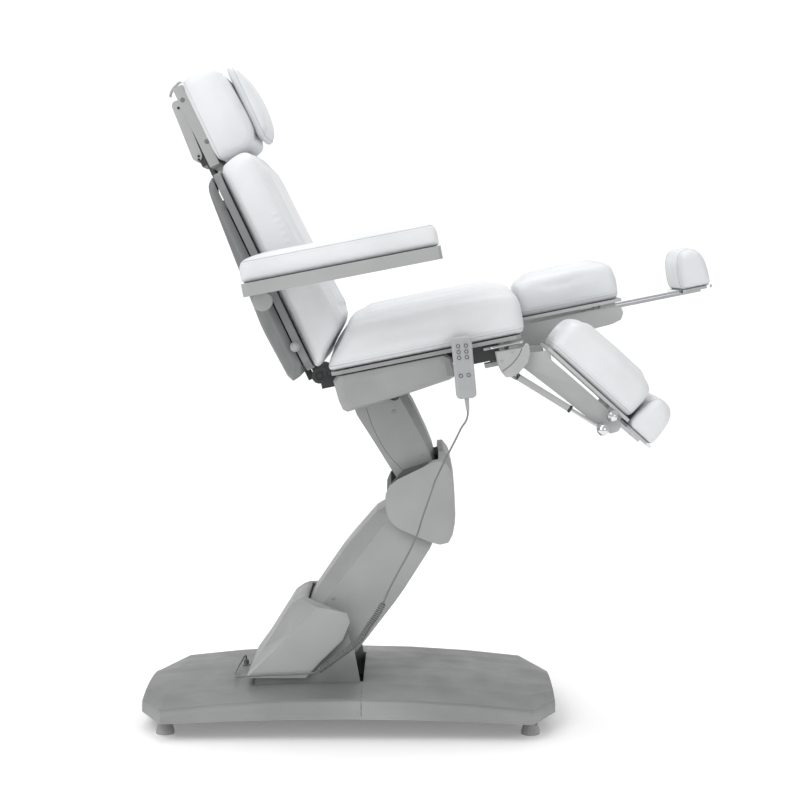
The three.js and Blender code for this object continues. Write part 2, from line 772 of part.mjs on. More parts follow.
// Base
function baseSection(x, wall) {
  const reach = x / (baseLength / 2);
  const rise = 1 - reach * reach;
  const noseLength = (baseLength - baseStraightLength) / 2;
  const beyond = Math.max(0, Math.abs(x) - baseStraightLength / 2) / noseLength;
  const half = THREE.MathUtils.lerp(baseWidth / 2, baseNoseWidth / 2, beyond) - wall;
  const edge = baseEdgeHeight + baseEdgeRise * rise - wall;
  const foot = wall > 0 ? -overrun : baseSkirtHeight + baseSkirtRise * rise;
  const roof = [-0.6, -0.3, 0, 0.3, 0.6].map((share) => [half * share, edge + baseCrown * (1 - share * share)]);
  const corner = baseEdgeRound;
  const points = [
    [-half, foot], [-half, edge - corner], [-half + corner * 0.3, edge - corner * 0.3],
    [-half + corner, edge], ...roof, [half - corner, edge],
    [half - corner * 0.3, edge - corner * 0.3], [half, edge - corner], [half, foot],
  ];
  return points.map(([y, z]) => new THREE.Vector2(y, z)).reverse();
}

function baseHood(wall) {
  const sections = baseStationShares.map((share) => {
    const x = share * (baseLength / 2 - wall);
    return { at: x, points: baseSection(x, wall) };
  });
  return loft(sections, alongX);
}

const humpFace = outline(humpFaceShares, humpLength, humpHeight, humpRearX, humpFootZ);
const humpSkin = outline(humpSkinShares, humpLength, humpHeight, humpRearX, humpFootZ);

function addBase() {
  const hood = cut(
    baseHood(0),
    baseHood(coverWall),
    box(armWellRearX, armWellFrontX, -collarInnerHalf, collarInnerHalf, 0, humpHeight),
  );
  const rearHalf = box(-baseLength, baseSeamX, -baseWidth, baseWidth, -overrun, humpHeight);
  const frontHalf = box(baseSeamX + gap, baseLength, -baseWidth, baseWidth, -overrun, humpHeight);
  const collarOutline = outline(collarShares, humpLength, humpHeight, humpRearX, humpFootZ);
  const collarOuter = collarInnerHalf + collarWall;
  const collarRearX = Math.min(...collarOutline.map((p) => p.x));
  const bossX = humpRearX + humpLength * 0.72;
  const bossZ = humpFootZ + humpHeight * 0.3;
  const bossReach = humpHalfWidth - coverWall - gap;
  const collar = join(
    cut(
      slab(collarOutline, -collarOuter, collarOuter),
      box(
        collarRearX + collarWall, humpRearX + humpLength + overrun,
        -collarInnerHalf, collarInnerHalf, 0, humpFootZ + humpHeight,
      ),
    ),
    ...[-1, 1].map((side) => barY(bossX, bossZ, screwBossRadius, side * collarInnerHalf, side * bossReach, screwBossSides)),
  );
  const socket = barZ(plugX, plugY, socketRadius, socketFoot, plugFoot - gap);
  const socketBore = barZ(plugX, plugY, plugStemRadius + pinPlay, socketFoot - overrun, plugTop);
  const rear = cut(join(hood.intersect(rearHalf), collar, socket), socketBore);
  addPiece(chair, "base_cover_rear", rear, materials.baseCover);
  addPiece(chair, "base_cover_front", hood.intersect(frontHalf), materials.baseCover);

  const beamRearX = footX - crossBeamWidth / 2;
  const beamFrontX = footX + crossBeamWidth / 2;
  const beamHalf = Math.max(...baseSection(beamFrontX + coverWall, coverWall).map((p) => p.x)) - gap;
  const forkOuter = forkInnerHalf + plateThickness;
  const forkRearX = liftPivotX - forkFootLength / 2;
  const forkOutline = [
    [forkRearX, frameTop - framePlateThickness], [forkRearX + forkFootLength, frameTop - framePlateThickness],
    [liftPivotX + lugRadius, liftPivotZ], [liftPivotX - lugRadius, liftPivotZ],
  ].map(([x, z]) => new THREE.Vector2(x, z));
  const forks = [-1, 1].flatMap((side) => [
    slab(forkOutline, side * forkInnerHalf, side * forkOuter),
    barY(liftPivotX, liftPivotZ, lugRadius, side * forkInnerHalf, side * forkOuter),
  ]);
  const beams = [-1, 1].map((end) => box(
    end * beamRearX, end * beamFrontX, -beamHalf, beamHalf, frameBottom, frameTop,
  ));
  const plateTop = frameBottom + framePlateThickness;
  const frame = join(
    box(-footX, footX, -frameHalfWidth, frameHalfWidth, frameBottom, plateTop),
    ...beams,
    ...forks,
    barY(liftPivotX, liftPivotZ, mainPinRadius, -forkOuter, forkOuter),
  );
  const corners = [[-1, -1, "rear_right"], [-1, 1, "rear_left"], [1, -1, "front_right"], [1, 1, "front_left"]];
  const footBores = corners.map(([endX, side]) => barZ(
    endX * footX, side * footY, footStudRadius + pinPlay, 0, frameTop + overrun,
  ));
  addPiece(chair, "base_frame", cut(frame, ...footBores), materials.steel);
  const footProfile = [
    [0, 0], [footPadRadius, 0], [footPadRadius, footPadHeight], [footNeckRadius, footNeckHeight],
    [footNutRadius, footNeckHeight], [footNutRadius, frameBottom - gap],
    [footStudRadius, frameBottom - gap], [footStudRadius, footStudTop], [0, footStudTop],
  ];
  corners.forEach(([endX, side, place]) => {
    addPiece(chair, "foot_" + place, revolve(footProfile, endX * footX, side * footY, 0), materials.foot);
  });
}

// The hump is hollowed by its own form moved forward and down by the wall, so it is open
// towards the arms and below
function addPedestalCover() {
  const moved = (points) => points.map((p) => new THREE.Vector2(p.x + coverWall, p.y - coverWall));
  const faceHalf = humpHalfWidth - coverWall;
  const hollow = crownedForm(moved(humpFace), moved(humpSkin), faceHalf, humpShoulderHalf - coverWall / 2);
  const shell = cut(crownedForm(humpFace, humpSkin, humpHalfWidth, humpShoulderHalf), hollow);
  addPiece(chair, "pedestal_cover", shell, materials.cover);
}

// A steel channel between two pivots, open on one side
function armBeam(length, half, hasDrive) {
  const reach = beamHalfDepth;
  const body = join(
    box(-reach, reach, -half, half, 0, length),
    barY(0, 0, reach, -half, half),
    barY(0, length, reach, -half, half),
  );
  const slot = box(-reach + beamWeb, reach + overrun, -half + beamPlate, half - beamPlate, -overrun, length + overrun);
  const bores = [0, length].map((z) => barY(0, z, mainPinRadius + pinPlay, -half - overrun, half + overrun));
  const clearOfPins = [0, length].map((z) => barY(0, z, reach + gap, -half + beamPlate, half - beamPlate));
  const channel = cut(body, slot, ...clearOfPins, ...bores);
  if (!hasDrive) return channel;
  const driveFoot = (length * (1 - driveLengthShare)) / 2;
  const drive = barZ(0, 0, driveRadius, driveFoot, length - driveFoot);
  return join(channel, drive);
}

// A hollow arm cover, fixed to its beam by bosses and holed where the pins pass
function armCover(length, face, skin, faceHalf, crownHalf, beamHalf, opensBelow) {
  const deepen = (points) => inset(points, armCoverWall).map((p) => (
    opensBelow && p.y < length * 0.1 ? new THREE.Vector2(p.x, p.y - overrun) : p
  ));
  const hollow = crownedForm(deepen(face), deepen(skin), faceHalf - armCoverWall, crownHalf);
  const shell = cut(crownedForm(face, skin, faceHalf, crownHalf), hollow);
  const bosses = [0.3, 0.7].flatMap((share) => [-1, 1].map((side) => barY(
    0, length * share, screwBossRadius, side * (beamHalf + gap), side * (faceHalf - armCoverWall / 2), screwBossSides,
  )));
  const pinHoles = [0, length].map((z) => barY(
    0, z, mainPinRadius + 2 * pinPlay, -faceHalf - overrun, faceHalf + overrun,
  ));
  return cut(join(shell, ...bosses), ...pinHoles);
}

const lowerArm = frameAt(chair, liftPivotX, liftPivotZ, lowerArmAngle - 90);

function addLowerArm() {
  addPiece(lowerArm, "lower_arm_beam", armBeam(lowerArmLength, lowerBeamHalf, true), materials.steel);
  const cover = armCover(
    lowerArmLength,
    soften(outline(lowerFaceShares, lowerArmDepth, lowerArmLength), armCornerRound),
    soften(outline(lowerSkinShares, lowerArmDepth, lowerArmLength), armCornerRound),
    lowerArmFaceHalf, lowerArmCrownHalf, lowerBeamHalf, true,
  );
  addPiece(lowerArm, "lower_arm_cover", cover, materials.cover);
}

const knee = frameAt(lowerArm, 0, lowerArmLength, 90 - lowerArmAngle);

function addKnee() {
  const blockOuter = kneeHalfWidth - coverWall - gap;
  const blockInner = blockOuter - plateThickness;
  const place = (shares) => outline(shares, kneeDepth, kneeHeight, -kneeRearReach, -kneeDrop);
  const blockOutline = place(kneeBlockShares);
  const block = join(
    barY(0, 0, mainPinRadius, -blockOuter, blockOuter),
    barY(kneeStepX, kneeStepZ, mainPinRadius, -blockOuter, blockOuter),
    ...[-1, 1].map((side) => slab(blockOutline, side * blockInner, side * blockOuter)),
  );
  addPiece(knee, "knee_block", block, materials.steel);
  const form = crownedForm(
    soften(place(kneeFaceShares), kneeCornerRound), soften(place(kneeSkinShares), kneeCornerRound), kneeHalfWidth, kneeCrownHalf,
  );
  const innerHalf = kneeHalfWidth - coverWall;
  const shell = cut(form, slab(place(kneeOpenShares), -innerHalf, innerHalf));
  addPiece(knee, "knee_cover", shell, materials.cover);
}

const upperArm = frameAt(knee, kneeStepX, kneeStepZ, upperArmAngle - 90);

function addUpperArm() {
  addPiece(upperArm, "upper_arm_beam", armBeam(upperArmLength, upperBeamHalf, false), materials.steel);
  const cover = armCover(
    upperArmLength,
    soften(outline(upperFaceShares, upperArmDepth, upperArmLength), armCornerRound),
    soften(outline(upperSkinShares, upperArmDepth, upperArmLength), armCornerRound),
    upperArmFaceHalf, upperArmCrownHalf, upperBeamHalf, false,
  );
  addPiece(upperArm, "upper_arm_cover", cover, materials.cover);
}

const carriage = frameAt(upperArm, 0, upperArmLength, 90 - upperArmAngle);

function addCarriage() {
  const outer = carriageInnerHalf + carriagePlate;
  const lever = [
    [0, lugRadius], [-lugRadius, 0], [0, -lugRadius],
    [carriageLeverX, -carriageLeverDrop - carriageEyeRadius], [carriageLeverX, carriageEyeRadius - carriageLeverDrop],
  ].map(([x, z]) => new THREE.Vector2(x, z));
  const pinHalf = seatRailInnerHalf + seatRailWidth + gap;
  const shape = join(
    barY(0, 0, mainPinRadius, -pinHalf, pinHalf),
    ...[-1, 1].flatMap((side) => [
      barY(0, 0, lugRadius, side * carriageInnerHalf, side * outer),
      barY(carriageLeverX, -carriageLeverDrop, carriageEyeRadius, side * carriageInnerHalf, side * outer),
      slab(lever, side * carriageInnerHalf, side * outer),
    ]),
  );
  const eyes = barY(carriageLeverX, -carriageLeverDrop, carriageEyeRadius / 2, -outer - overrun, outer + overrun);
  addPiece(carriage, "tilt_carriage", cut(shape, eyes), materials.steel);
}

const seat = frameAt(carriage, 0, 0, seatTilt);

function addSeat() {
  const railOuter = seatRailInnerHalf + seatRailWidth;
  const rails = [-1, 1].flatMap((side) => {
    const inner = side * seatRailInnerHalf;
    const outer = side * railOuter;
    return [
      box(reclineX, seatCrossRearX + plateThickness, inner, outer, seatRailFoot, seatRailTop),
      barY(0, 0, lugRadius, inner, outer),
      barY(reclineX, reclineZ, reclineLugRadius, inner, outer),
    ];
  });
  const crossHeight = seatTrayFoot - gap;
  const shape = join(box(seatCrossRearX, seatCrossFrontX, -seatCrossHalf, seatCrossHalf, 0, crossHeight), ...rails);
  const bores = [
    barY(0, 0, mainPinRadius + pinPlay, -railOuter - overrun, railOuter + overrun),
    barY(reclineX, reclineZ, reclinePinRadius + pinPlay, -railOuter - overrun, railOuter + overrun),
    ...[-1, 1].map((side) => barZ(swingPinX, side * swingPinY, swingPinRadius + pinPlay, -overrun, 2 * overrun)),
  ];
  addPiece(seat, "seat_frame", cut(shape, ...bores), materials.steel);

  const form = outline(seatCoverShares, seatCoverLength, seatCoverDepth);
  const coverFoot = Math.min(...form.map((p) => p.y));
  const soft = soften(form, coverCornerRound);
  const hollow = shrink(soft, coverWall).map((p) => (
    p.y > seatTrayFoot - 2 * coverWall ? new THREE.Vector2(p.x, p.y + coverWall) : p
  ));
  const pan = cut(
    pillowForm(soft, seatCoverHalf, seatCoverRound),
    pillowForm(hollow, seatCoverHalf - coverWall, seatCoverRound - coverWall),
    box(seatWellRearX, seatTrayFrontX, -seatWellHalf, seatWellHalf, coverFoot - overrun, seatRailFoot),
    box(seatTrayFrontX / 2, seatTrayFrontX, -seatCrossHalf, seatCrossHalf, coverFoot, seatTrayFoot),
    box(
      -seatCoverLength, seatTrayFrontX, -railOuter - coverWall, railOuter + coverWall,
      seatRailFoot - coverWall, seatTrayFoot,
    ),
  );
  const tray = board(
    seatTrayRearX, seatTrayFrontX, -seatCoverHalf, seatCoverHalf, seatTrayFoot, seatTrayTop, seatTrayCorner,
  );
  const holder = box(
    handsetX - holderWidth / 2, handsetX + holderWidth / 2,
    -holderInnerY, gap - handsetBackY, holderFoot, seatTrayFoot + coverWall,
  );
  addPiece(seat, "seat_cover", join(pan, tray, holder), materials.cover);

  const cushionOutline = soften(
    outline(seatCushionShares, seatCushionLength, seatCushionHeight, seatCushionRearX, seatCushionFoot),
    cushionCornerRound,
  );
  const pad = cushion(cushionOutline, seatCushionHalf, cushionEndRound, seatCushionCrown, "z");
  addPiece(seat, "seat_cushion", pad, materials.cushion);
}

const back = frameAt(seat, reclineX, reclineZ, backLean);

function addBack() {
  const outer = backUprightInnerHalf + backUprightWidth;
  const pinHalf = seatRailInnerHalf + seatRailWidth + gap;
  const uprights = [-1, 1].flatMap((side) => {
    const inner = side * backUprightInnerHalf;
    return [
      box(backUprightRearX, backUprightFrontX, inner, side * outer, 0, backUprightTop),
      barY(0, 0, reclineLugRadius, inner, side * outer),
      barY(0, 0, reclinePinRadius, inner, side * pinHalf),
    ];
  });
  const shape = join(
    barY(backCrossX, backCrossZ, backCrossRadius, -backCrossHalf, backCrossHalf),
    box(postGuideRearX, backUprightFrontX, -outer, outer, postGuideFoot, postGuideTop),
    ...uprights,
  );
  const windows = [-1, 1].map((side) => box(
    postRearX - gap, postFrontX + gap, side * (postInnerHalf - gap), side * (postInnerHalf + postWidth + gap),
    postGuideFoot - overrun, postGuideTop + overrun,
  ));
  const endBores = [-1, 1].map((side) => barY(
    backCrossX, backCrossZ, armRestPinRadius + pinPlay, side * (armRestPinInnerY - gap), side * (backCrossHalf + overrun),
  ));
  addPiece(back, "back_frame", cut(shape, ...windows, ...endBores), materials.steel);

  const form = soften(outline(backShellShares, backShellDepth, backShellHeight), coverCornerRound);
  const inner = shrink(form, coverWall).map((p) => (
    p.x > backUprightFrontX - coverWall ? new THREE.Vector2(p.x + 2 * coverWall, p.y) : p
  ));
  const postReach = postInnerHalf + postWidth + coverWall;
  const armReach = seatRailInnerHalf + seatRailWidth + coverWall;
  const rim = panel(
    backBoardRearX, backBoardFrontX, -backBoardHalf, backBoardHalf, backBoardFoot, backBoardTop, backBoardCorner,
  );
  const shell = cut(
    pillowForm(form, backShellHalf, backShellRound),
    pillowForm(inner, backShellHalf - coverWall, backShellRound - coverWall),
    box(-backShellDepth - overrun, overrun, -armReach, armReach, -overrun, lugRadius + 2 * coverWall),
    box(postRearX - 2 * coverWall, backBoardRearX - gap, -postReach, postReach, postTop / 2, postTop),
  );
  const shellWithRim = join(shell, rim);
  const holes = barY(
    backCrossX, backCrossZ, armRestHoleRadius, -backShellHalf - overrun, backShellHalf + overrun,
  );
  const frameRoom = box(
    postGuideRearX - gap, backBoardRearX - gap, -outer - gap, outer + gap, 0, backUprightTop + gap,
  );
  const lugRoom = box(-lugRadius - coverWall, overrun, -armReach, armReach, -overrun, lugRadius + 2 * coverWall);
  const bosses = [-1, 1].map((side) => barX(
    backUprightFrontX + gap, backBoardRearX + coverWall, side * (backUprightInnerHalf + backUprightWidth / 2),
    backShellHeight * 0.75, screwBossRadius,
  ));
  addPiece(back, "back_shell", join(cut(shellWithRim, holes, frameRoom, lugRoom), ...bosses), materials.backShell);

  const cushionOutline = soften(
    outline(backCushionShares, backCushionDepth, backCushionHeight, backCushionRearX, backCushionFoot),
    cushionCornerRound,
  );
  const pad = cushion(cushionOutline, backCushionHalf, cushionEndRound, backCushionCrown, "x");
  addPiece(back, "back_cushion", pad, materials.cushion);
}

function addHeadrest() {
  const postOuter = postInnerHalf + postWidth;
  const eyeOuter = linkInnerHalf - gap;
  const knuckle = cut(
    join(
      ...[-1, 1].map((side) => box(postRearX, postFrontX, side * postInnerHalf, side * postOuter, postFoot, postTop)),
      box(linkPivotX, postFrontX, -eyeOuter, eyeOuter, postTop - linkEyeRadius, linkPivotZ),
      barY(linkPivotX, linkPivotZ, linkEyeRadius, -eyeOuter, eyeOuter),
    ),
    ...[-1, 1].map((side) => box(
      postRearX - overrun, postFrontX + overrun, side * (eyeOuter + gap), side * (postOuter + overrun),
      postTop - 2 * linkEyeRadius, linkPivotZ + 2 * linkEyeRadius,
    )),
    barY(linkPivotX, linkPivotZ, linkPinRadius + pinPlay, -eyeOuter - overrun, eyeOuter + overrun),
  );
  addPiece(back, "headrest_posts", knuckle, materials.steel);

  const linkOuter = linkInnerHalf + linkPlate;
  const rise = Math.atan2(headPivotZ - linkPivotZ, headPivotX - linkPivotX);
  const side = (x) => [x * Math.sin(rise), -x * Math.cos(rise)];
  const strip = [
    [linkPivotX, linkPivotZ, -linkEyeRadius], [linkPivotX, linkPivotZ, linkEyeRadius],
    [headPivotX, headPivotZ, linkEyeRadius], [headPivotX, headPivotZ, -linkEyeRadius],
  ].map(([x, z, reach]) => new THREE.Vector2(x + side(reach)[0], z + side(reach)[1]));
  const webInner = linkPivotZ + 2 * linkEyeRadius;
  const webOuter = headPivotZ - 2 * linkEyeRadius;
  const web = slab(strip, -linkOuter, linkOuter).intersect(
    box(linkPivotX - 2 * linkEyeRadius, headPivotX - linkPlate, -linkOuter, linkOuter, webInner, webOuter),
  );
  const link = join(
    web,
    ...[-1, 1].flatMap((hand) => [
      slab(strip, hand * linkInnerHalf, hand * linkOuter),
      barY(linkPivotX, linkPivotZ, linkEyeRadius, hand * linkInnerHalf, hand * linkOuter),
      barY(headPivotX, headPivotZ, linkEyeRadius, hand * linkInnerHalf, hand * linkOuter),
    ]),
    barY(linkPivotX, linkPivotZ, linkPinRadius, -linkOuter, linkOuter),
    barY(headPivotX, headPivotZ, linkPinRadius, -linkOuter, linkOuter),
  );
  addPiece(back, "headrest_link", link, materials.steel);

  const plate = cut(
    join(
      box(headPlateRearX, headPlateFrontX, -headPlateHalf, headPlateHalf, headPlateFoot, headPlateTop),
      box(headPivotX, headPlateRearX, -eyeOuter, eyeOuter, headPivotZ - linkEyeRadius, headPivotZ + linkEyeRadius),
      barY(headPivotX, headPivotZ, linkEyeRadius, -eyeOuter, eyeOuter),
    ),
    barY(headPivotX, headPivotZ, linkPinRadius + pinPlay, -eyeOuter - overrun, eyeOuter + overrun),
  );
  addPiece(back, "headrest_plate", plate, materials.knob);

  const headOutline = soften(
    outline(headCushionShares, headCushionDepth, headCushionHeight, headCushionRearX, headCushionFoot),
    cushionCornerRound,
  );
  const headPad = cushion(headOutline, headCushionHalf, padEndRound, headCushionCrown, "x");
  addPiece(back, "headrest_cushion", headPad, materials.cushion);
  const pillowOutline = outline(pillowShares, pillowDepth, pillowHeight, pillowRearX, pillowFoot);
  addPiece(back, "headrest_pillow", cushion(pillowOutline, pillowHalf, smallPadEndRound, pillowCrown, "x"), materials.cushion);
}

function addArmRest(sideName, side) {
  const rest = frameAt(back, backCrossX, backCrossZ, armRestAngle);
  const innerY = side * armRestInnerY;
  const outerY = side * (armRestInnerY + armRestWidth);
  const base = join(
    board(
      armRestRearX, armRestRearX + armRestLength, Math.min(innerY, outerY), Math.max(innerY, outerY),
      armRestFoot, armRestFoot + armRestBaseHeight, armRestBaseCorner,
    ),
    barY(0, 0, armRestBossRadius, side * armRestBossY, side * (armRestInnerY + armRestBossWidth)),
    barY(0, 0, armRestPinRadius, side * armRestPinInnerY, side * armRestInnerY),
  );
  addPiece(rest, "arm_rest_base_" + sideName, base, materials.cover);
  const cushionFoot = armRestFoot + armRestBaseHeight + gap;
  const shape = outline(armRestCushionShares, armRestLength, armRestCushionHeight, armRestRearX, cushionFoot);
  const middle = side * (armRestInnerY + armRestWidth / 2);
  const pad = cushion(shape, armRestWidth / 2, armRestEndRound, armRestCushionCrown, "z", middle);
  addPiece(rest, "arm_rest_cushion_" + sideName, pad, materials.cushion);
}

// Gas spring geometry in the leg bracket's axes, for a leg tilt in degrees
function springLine(legTilt) {
  const angle = THREE.MathUtils.degToRad(legTilt);
  const footX = springFootX * Math.cos(angle) - springFootZ * Math.sin(angle);
  const footZ = springFootX * Math.sin(angle) + springFootZ * Math.cos(angle);
  const spanX = footX - springTopX;
  const spanZ = footZ - springTopZ;
  return { length: Math.hypot(spanX, spanZ), degrees: THREE.MathUtils.radToDeg(Math.atan2(spanZ, spanX)) };
}

function addLegRest(sideName, side, legTilt, footExtension) {
  const bracket = frameAt(seat, legPivotX, legPivotZ);
  const pinX = swingPinX - legPivotX;
  const plateTop = bracketPlateTop - legPivotZ;
  const plateFoot = plateTop - bracketPlateThickness;
  const springPlane = side * (legCentreY + springY);
  const hingeEdge = outline(hingeCoverEdgeShares, hingeCoverSize, hingeCoverSize);
  const hingeFace = outline(hingeCoverFaceShares, hingeCoverSize, hingeCoverSize);
  const shoulderY = (hingeCoverInnerY + hingeCoverOuterY) / 2;
  const hingeCover = loft([
    { at: side * hingeCoverInnerY, points: hingeEdge },
    { at: side * shoulderY, points: hingeEdge },
    { at: side * hingeCoverOuterY, points: hingeFace },
  ], acrossY);
  const sideRail = barAlong(0, side * sideRailY, sideRailRise, 0, sideRailRearX, sideRailFrontX, sideRailRadius);
  const railEar = box(
    -legAxleRadius, legAxleRadius, side * (sideRailY - sideRailRadius), side * (sideRailY + sideRailRadius),
    0, sideRailRise,
  );
  const bracketShape = join(
    box(
      bracketRearX - legPivotX, bracketFrontX - legPivotX, side * bracketInnerY, side * bracketOuterY,
      plateFoot, plateTop,
    ),
    barZ(pinX, side * swingPinY, swingPinRadius, plateFoot, seatTrayFoot - 2 * gap - legPivotZ),
    barY(0, 0, legAxleRadius, side * legAxleInnerY, side * (hingeCoverInnerY + gap)),
    hingeCover,
    barY(springTopX, springTopZ, springFootPinRadius, springPlane - side * springRadius, side * (hingeCoverInnerY + gap)),
    sideRail,
    railEar,
  );
  addPiece(bracket, "leg_bracket_" + sideName, bracketShape, materials.plate);

  const leg = frameAt(bracket, 0, 0, legTilt, side * legCentreY);
  const plateOuter = legPlateInner + legPlateWidth;
  const plateOutline = outline(legPlateShares, legPlateLength, legPlateHeight);
  const guide = box(slideGuideRearX, slideGuideFrontX, -plateOuter, plateOuter, slideGuideFoot, legTrayFoot + gap);
  const legShape = join(
    box(legTrayRearX, legTrayFrontX, -legTrayHalf, legTrayHalf, legTrayFoot, legTrayTop),
    guide,
    ...[-1, 1].map((hand) => slab(plateOutline, hand * legPlateInner, hand * plateOuter)),
    barY(springFootX, springFootZ, springFootPinRadius, side * legPlateInner, side * springFootBallY),
    ball(springFootX, side * springFootBallY, springFootZ, springFootBallRadius),
  );
  const guideWindows = [-1, 1].map((hand) => box(
    slideGuideRearX - overrun, slideGuideFrontX + overrun,
    hand * (footBarInner - gap), hand * (footBarInner + footBarWidth + gap),
    footSlideBarFoot - gap, footSlideTrayFoot + gap,
  ));
  const knobBore = barY(knobX, knobZ, knobStemRadius + pinPlay, side * (knobStemInner - gap), side * knobCentreY);
  const axleBore = barY(0, 0, legAxleRadius + pinPlay, -plateOuter - overrun, plateOuter + overrun);
  addPiece(leg, "leg_frame_" + sideName, cut(legShape, ...guideWindows, knobBore, axleBore), materials.plate);

  const calfFoot = legTrayTop + gap;
  const calfOutline = soften(
    outline(calfCushionShares, calfCushionLength, calfCushionHeight, calfCushionRearX, calfFoot), cushionCornerRound,
  );
  const calfPad = cushion(calfOutline, calfCushionHalf, padEndRound, calfCushionCrown, "z");
  addPiece(leg, "calf_cushion_" + sideName, calfPad, materials.cushion);

  const knob = join(
    ball(knobX, side * knobCentreY, knobZ, knobRadius),
    barY(knobX, knobZ, knobStemRadius, side * knobStemInner, side * knobCentreY),
  );
  addPiece(leg, "slide_knob_" + sideName, knob, materials.knob);

  const slide = new THREE.Group();
  slide.position.x = footExtension;
  leg.add(slide);
  const trayJoin = footSlideTrayFoot - gap;
  const slideShape = join(
    board(
      footSlideTrayRearX, footSlideTrayFrontX, -footSlideTrayHalf, footSlideTrayHalf,
      trayJoin, footSlideTrayTop, armRestBaseCorner,
    ),
    ...[-1, 1].map((hand) => box(
      footSlideRearX, footSlideBarFrontX, hand * footBarInner, hand * (footBarInner + footBarWidth),
      footSlideBarFoot, footSlideTrayFoot,
    )),
  );
  addPiece(slide, "foot_slide_" + sideName, slideShape, materials.chrome);
  const footOutline = outline(
    footCushionShares, footCushionLength, footCushionHeight, footCushionRearX, footSlideTrayTop + gap,
  );
  const footPad = cushion(footOutline, footCushionHalf, smallPadEndRound, footCushionCrown, "z");
  addPiece(slide, "foot_cushion_" + sideName, footPad, materials.cushion);

  const { length, degrees } = springLine(legTilt);
  const spring = frameAt(bracket, springTopX, springTopZ, degrees, springPlane);
  const eyeHalf = springEyeWidth / 2;
  const tubeShape = cut(
    join(
      barAlong(0, 0, 0, 0, 0, springTubeLength, springRadius),
      barY(0, 0, springRadius, -springRadius + gap, springRadius - gap),
    ),
    barAlong(0, 0, 0, 0, springBoreStart, springTubeLength + overrun, springRodRadius + pinPlay),
    barY(0, 0, springFootPinRadius + pinPlay, -2 * springRadius, 2 * springRadius),
  );
  addPiece(spring, "gas_spring_tube_" + sideName, tubeShape, materials.steel);
  const rodShape = cut(
    join(
      barAlong(0, 0, 0, 0, length - springRodLength, length - springEyeBore - gap, springRodRadius),
      barY(length, 0, springEyeRadius, -eyeHalf, eyeHalf),
    ),
    barY(length, 0, springEyeBore, -springEyeRadius, springEyeRadius),
  );
  addPiece(spring, "gas_spring_rod_" + sideName, rodShape, materials.chrome);
}

function addHandset() {
  const hand = frameAt(seat, handsetX, handsetZ, handsetAngle);
  const halfWidth = handsetWidth / 2;
  const halfLength = handsetLength / 2;
  const frontY = handsetBackY + handsetThickness;
  const shape = roundedRectangle(-halfWidth, halfWidth, -halfLength, halfLength, handsetCorner);
  const keys = keyRows.flatMap((z, row) => [-1, 1].map((column) => ({ x: column * keyColumn, z, row, column })));
  const pocketFloor = frontY + keyRise - keyThickness - keyTravel - gap;
  const pockets = keys.map(({ x, z }) => barY(x, z, keyRadius + pinPlay, -pocketFloor, -frontY - overrun, 10));
  const middleY = handsetBackY + handsetThickness / 2;
  const reliefTop = reliefLength + reliefTopRadius;
  const ridges = Array.from({ length: reliefRidgeCount }, (_, i) => {
    const share = (i + 0.5) / reliefRidgeCount;
    const radius = THREE.MathUtils.lerp(reliefTipRadius, reliefTopRadius, share);
    return barZ(0, -middleY, radius + gap, reliefLength * (share - reliefRidgeRearShare) - reliefLength - halfLength,
      reliefLength * (share + reliefRidgeFrontShare) - reliefLength - halfLength, 8);
  });
  const relief = revolve(
    [[0, 0], [reliefTipRadius, 0], [reliefTopRadius, reliefTop], [0, reliefTop]],
    0, -middleY, -halfLength - reliefLength, 8,
  );
  const body = join(slab(shape, -handsetBackY, -frontY, handsetBevel), relief, ...ridges);
  addPiece(hand, "handset", cut(body, ...pockets), materials.handset);
  keys.forEach(({ x, z, row, column }) => {
    const topY = frontY + keyRise;
    const key = barY(x, z, keyRadius, -topY, keyThickness - topY, 10);
    addPiece(hand, "key_" + (row + 1) + (column < 0 ? "_rear" : "_front"), key, materials.key);
  });
}

// The curly stretch: one helix about the coil's route, straight for a tube width at each end
function curlyCord() {
  const axis = new THREE.CatmullRomCurve3(coilRoute.map((p) => new THREE.Vector3(...p)), false, "centripetal");
  const helixRadius = coilOuterRadius - cordRadius;
  const straight = (2 * cordRadius) / axis.getLength();
  const steps = coilCurls * coilStepsPerCurl;
  const points = [axis.getPointAt(0)];
  for (let i = 0; i <= steps; i += 1) {
    const t = straight + ((1 - 2 * straight) * i) / steps;
    const centre = axis.getPointAt(t);
    const along = axis.getTangentAt(t);
    const across = new THREE.Vector3(0, 1, 0).cross(along).normalize();
    const up = along.clone().cross(across);
    const opened = Math.min(1, i / coilStepsPerCurl, (steps - i) / coilStepsPerCurl);
    const angle = (2 * Math.PI * i) / coilStepsPerCurl;
    const reach = helixRadius * opened;
    points.push(centre.addScaledVector(across, reach * Math.cos(angle)).addScaledVector(up, reach * Math.sin(angle)));
  }
  points.push(axis.getPointAt(1));
  const rings = points.map((p, i) => {
    const before = points[Math.max(0, i - 1)];
    const after = points[Math.min(points.length - 1, i + 1)];
    if (i <= 1) return { p, along: axis.getTangentAt(0) };
    if (i >= points.length - 2) return { p, along: axis.getTangentAt(1) };
    return { p, along: after.clone().sub(before).normalize() };
  });
  let normal = new THREE.Vector3(0, 1, 0).cross(rings[0].along).normalize();
  const sections = rings.map(({ p, along }) => {
    normal = normal.clone().addScaledVector(along, -normal.dot(along)).normalize();
    const side = along.clone().cross(normal);
    return Array.from({ length: coilSides }, (_, k) => {
      const angle = (2 * Math.PI * k) / coilSides;
      return p.clone().addScaledVector(normal, cordRadius * Math.cos(angle))
        .addScaledVector(side, cordRadius * Math.sin(angle));
    });
  });
  const flat = sections[0].map((_, k) => new THREE.Vector2(k, k * k));
  return loft(sections.map((ring) => ({ at: ring, points: flat })), (ring, p) => ring[p.x].toArray());
}

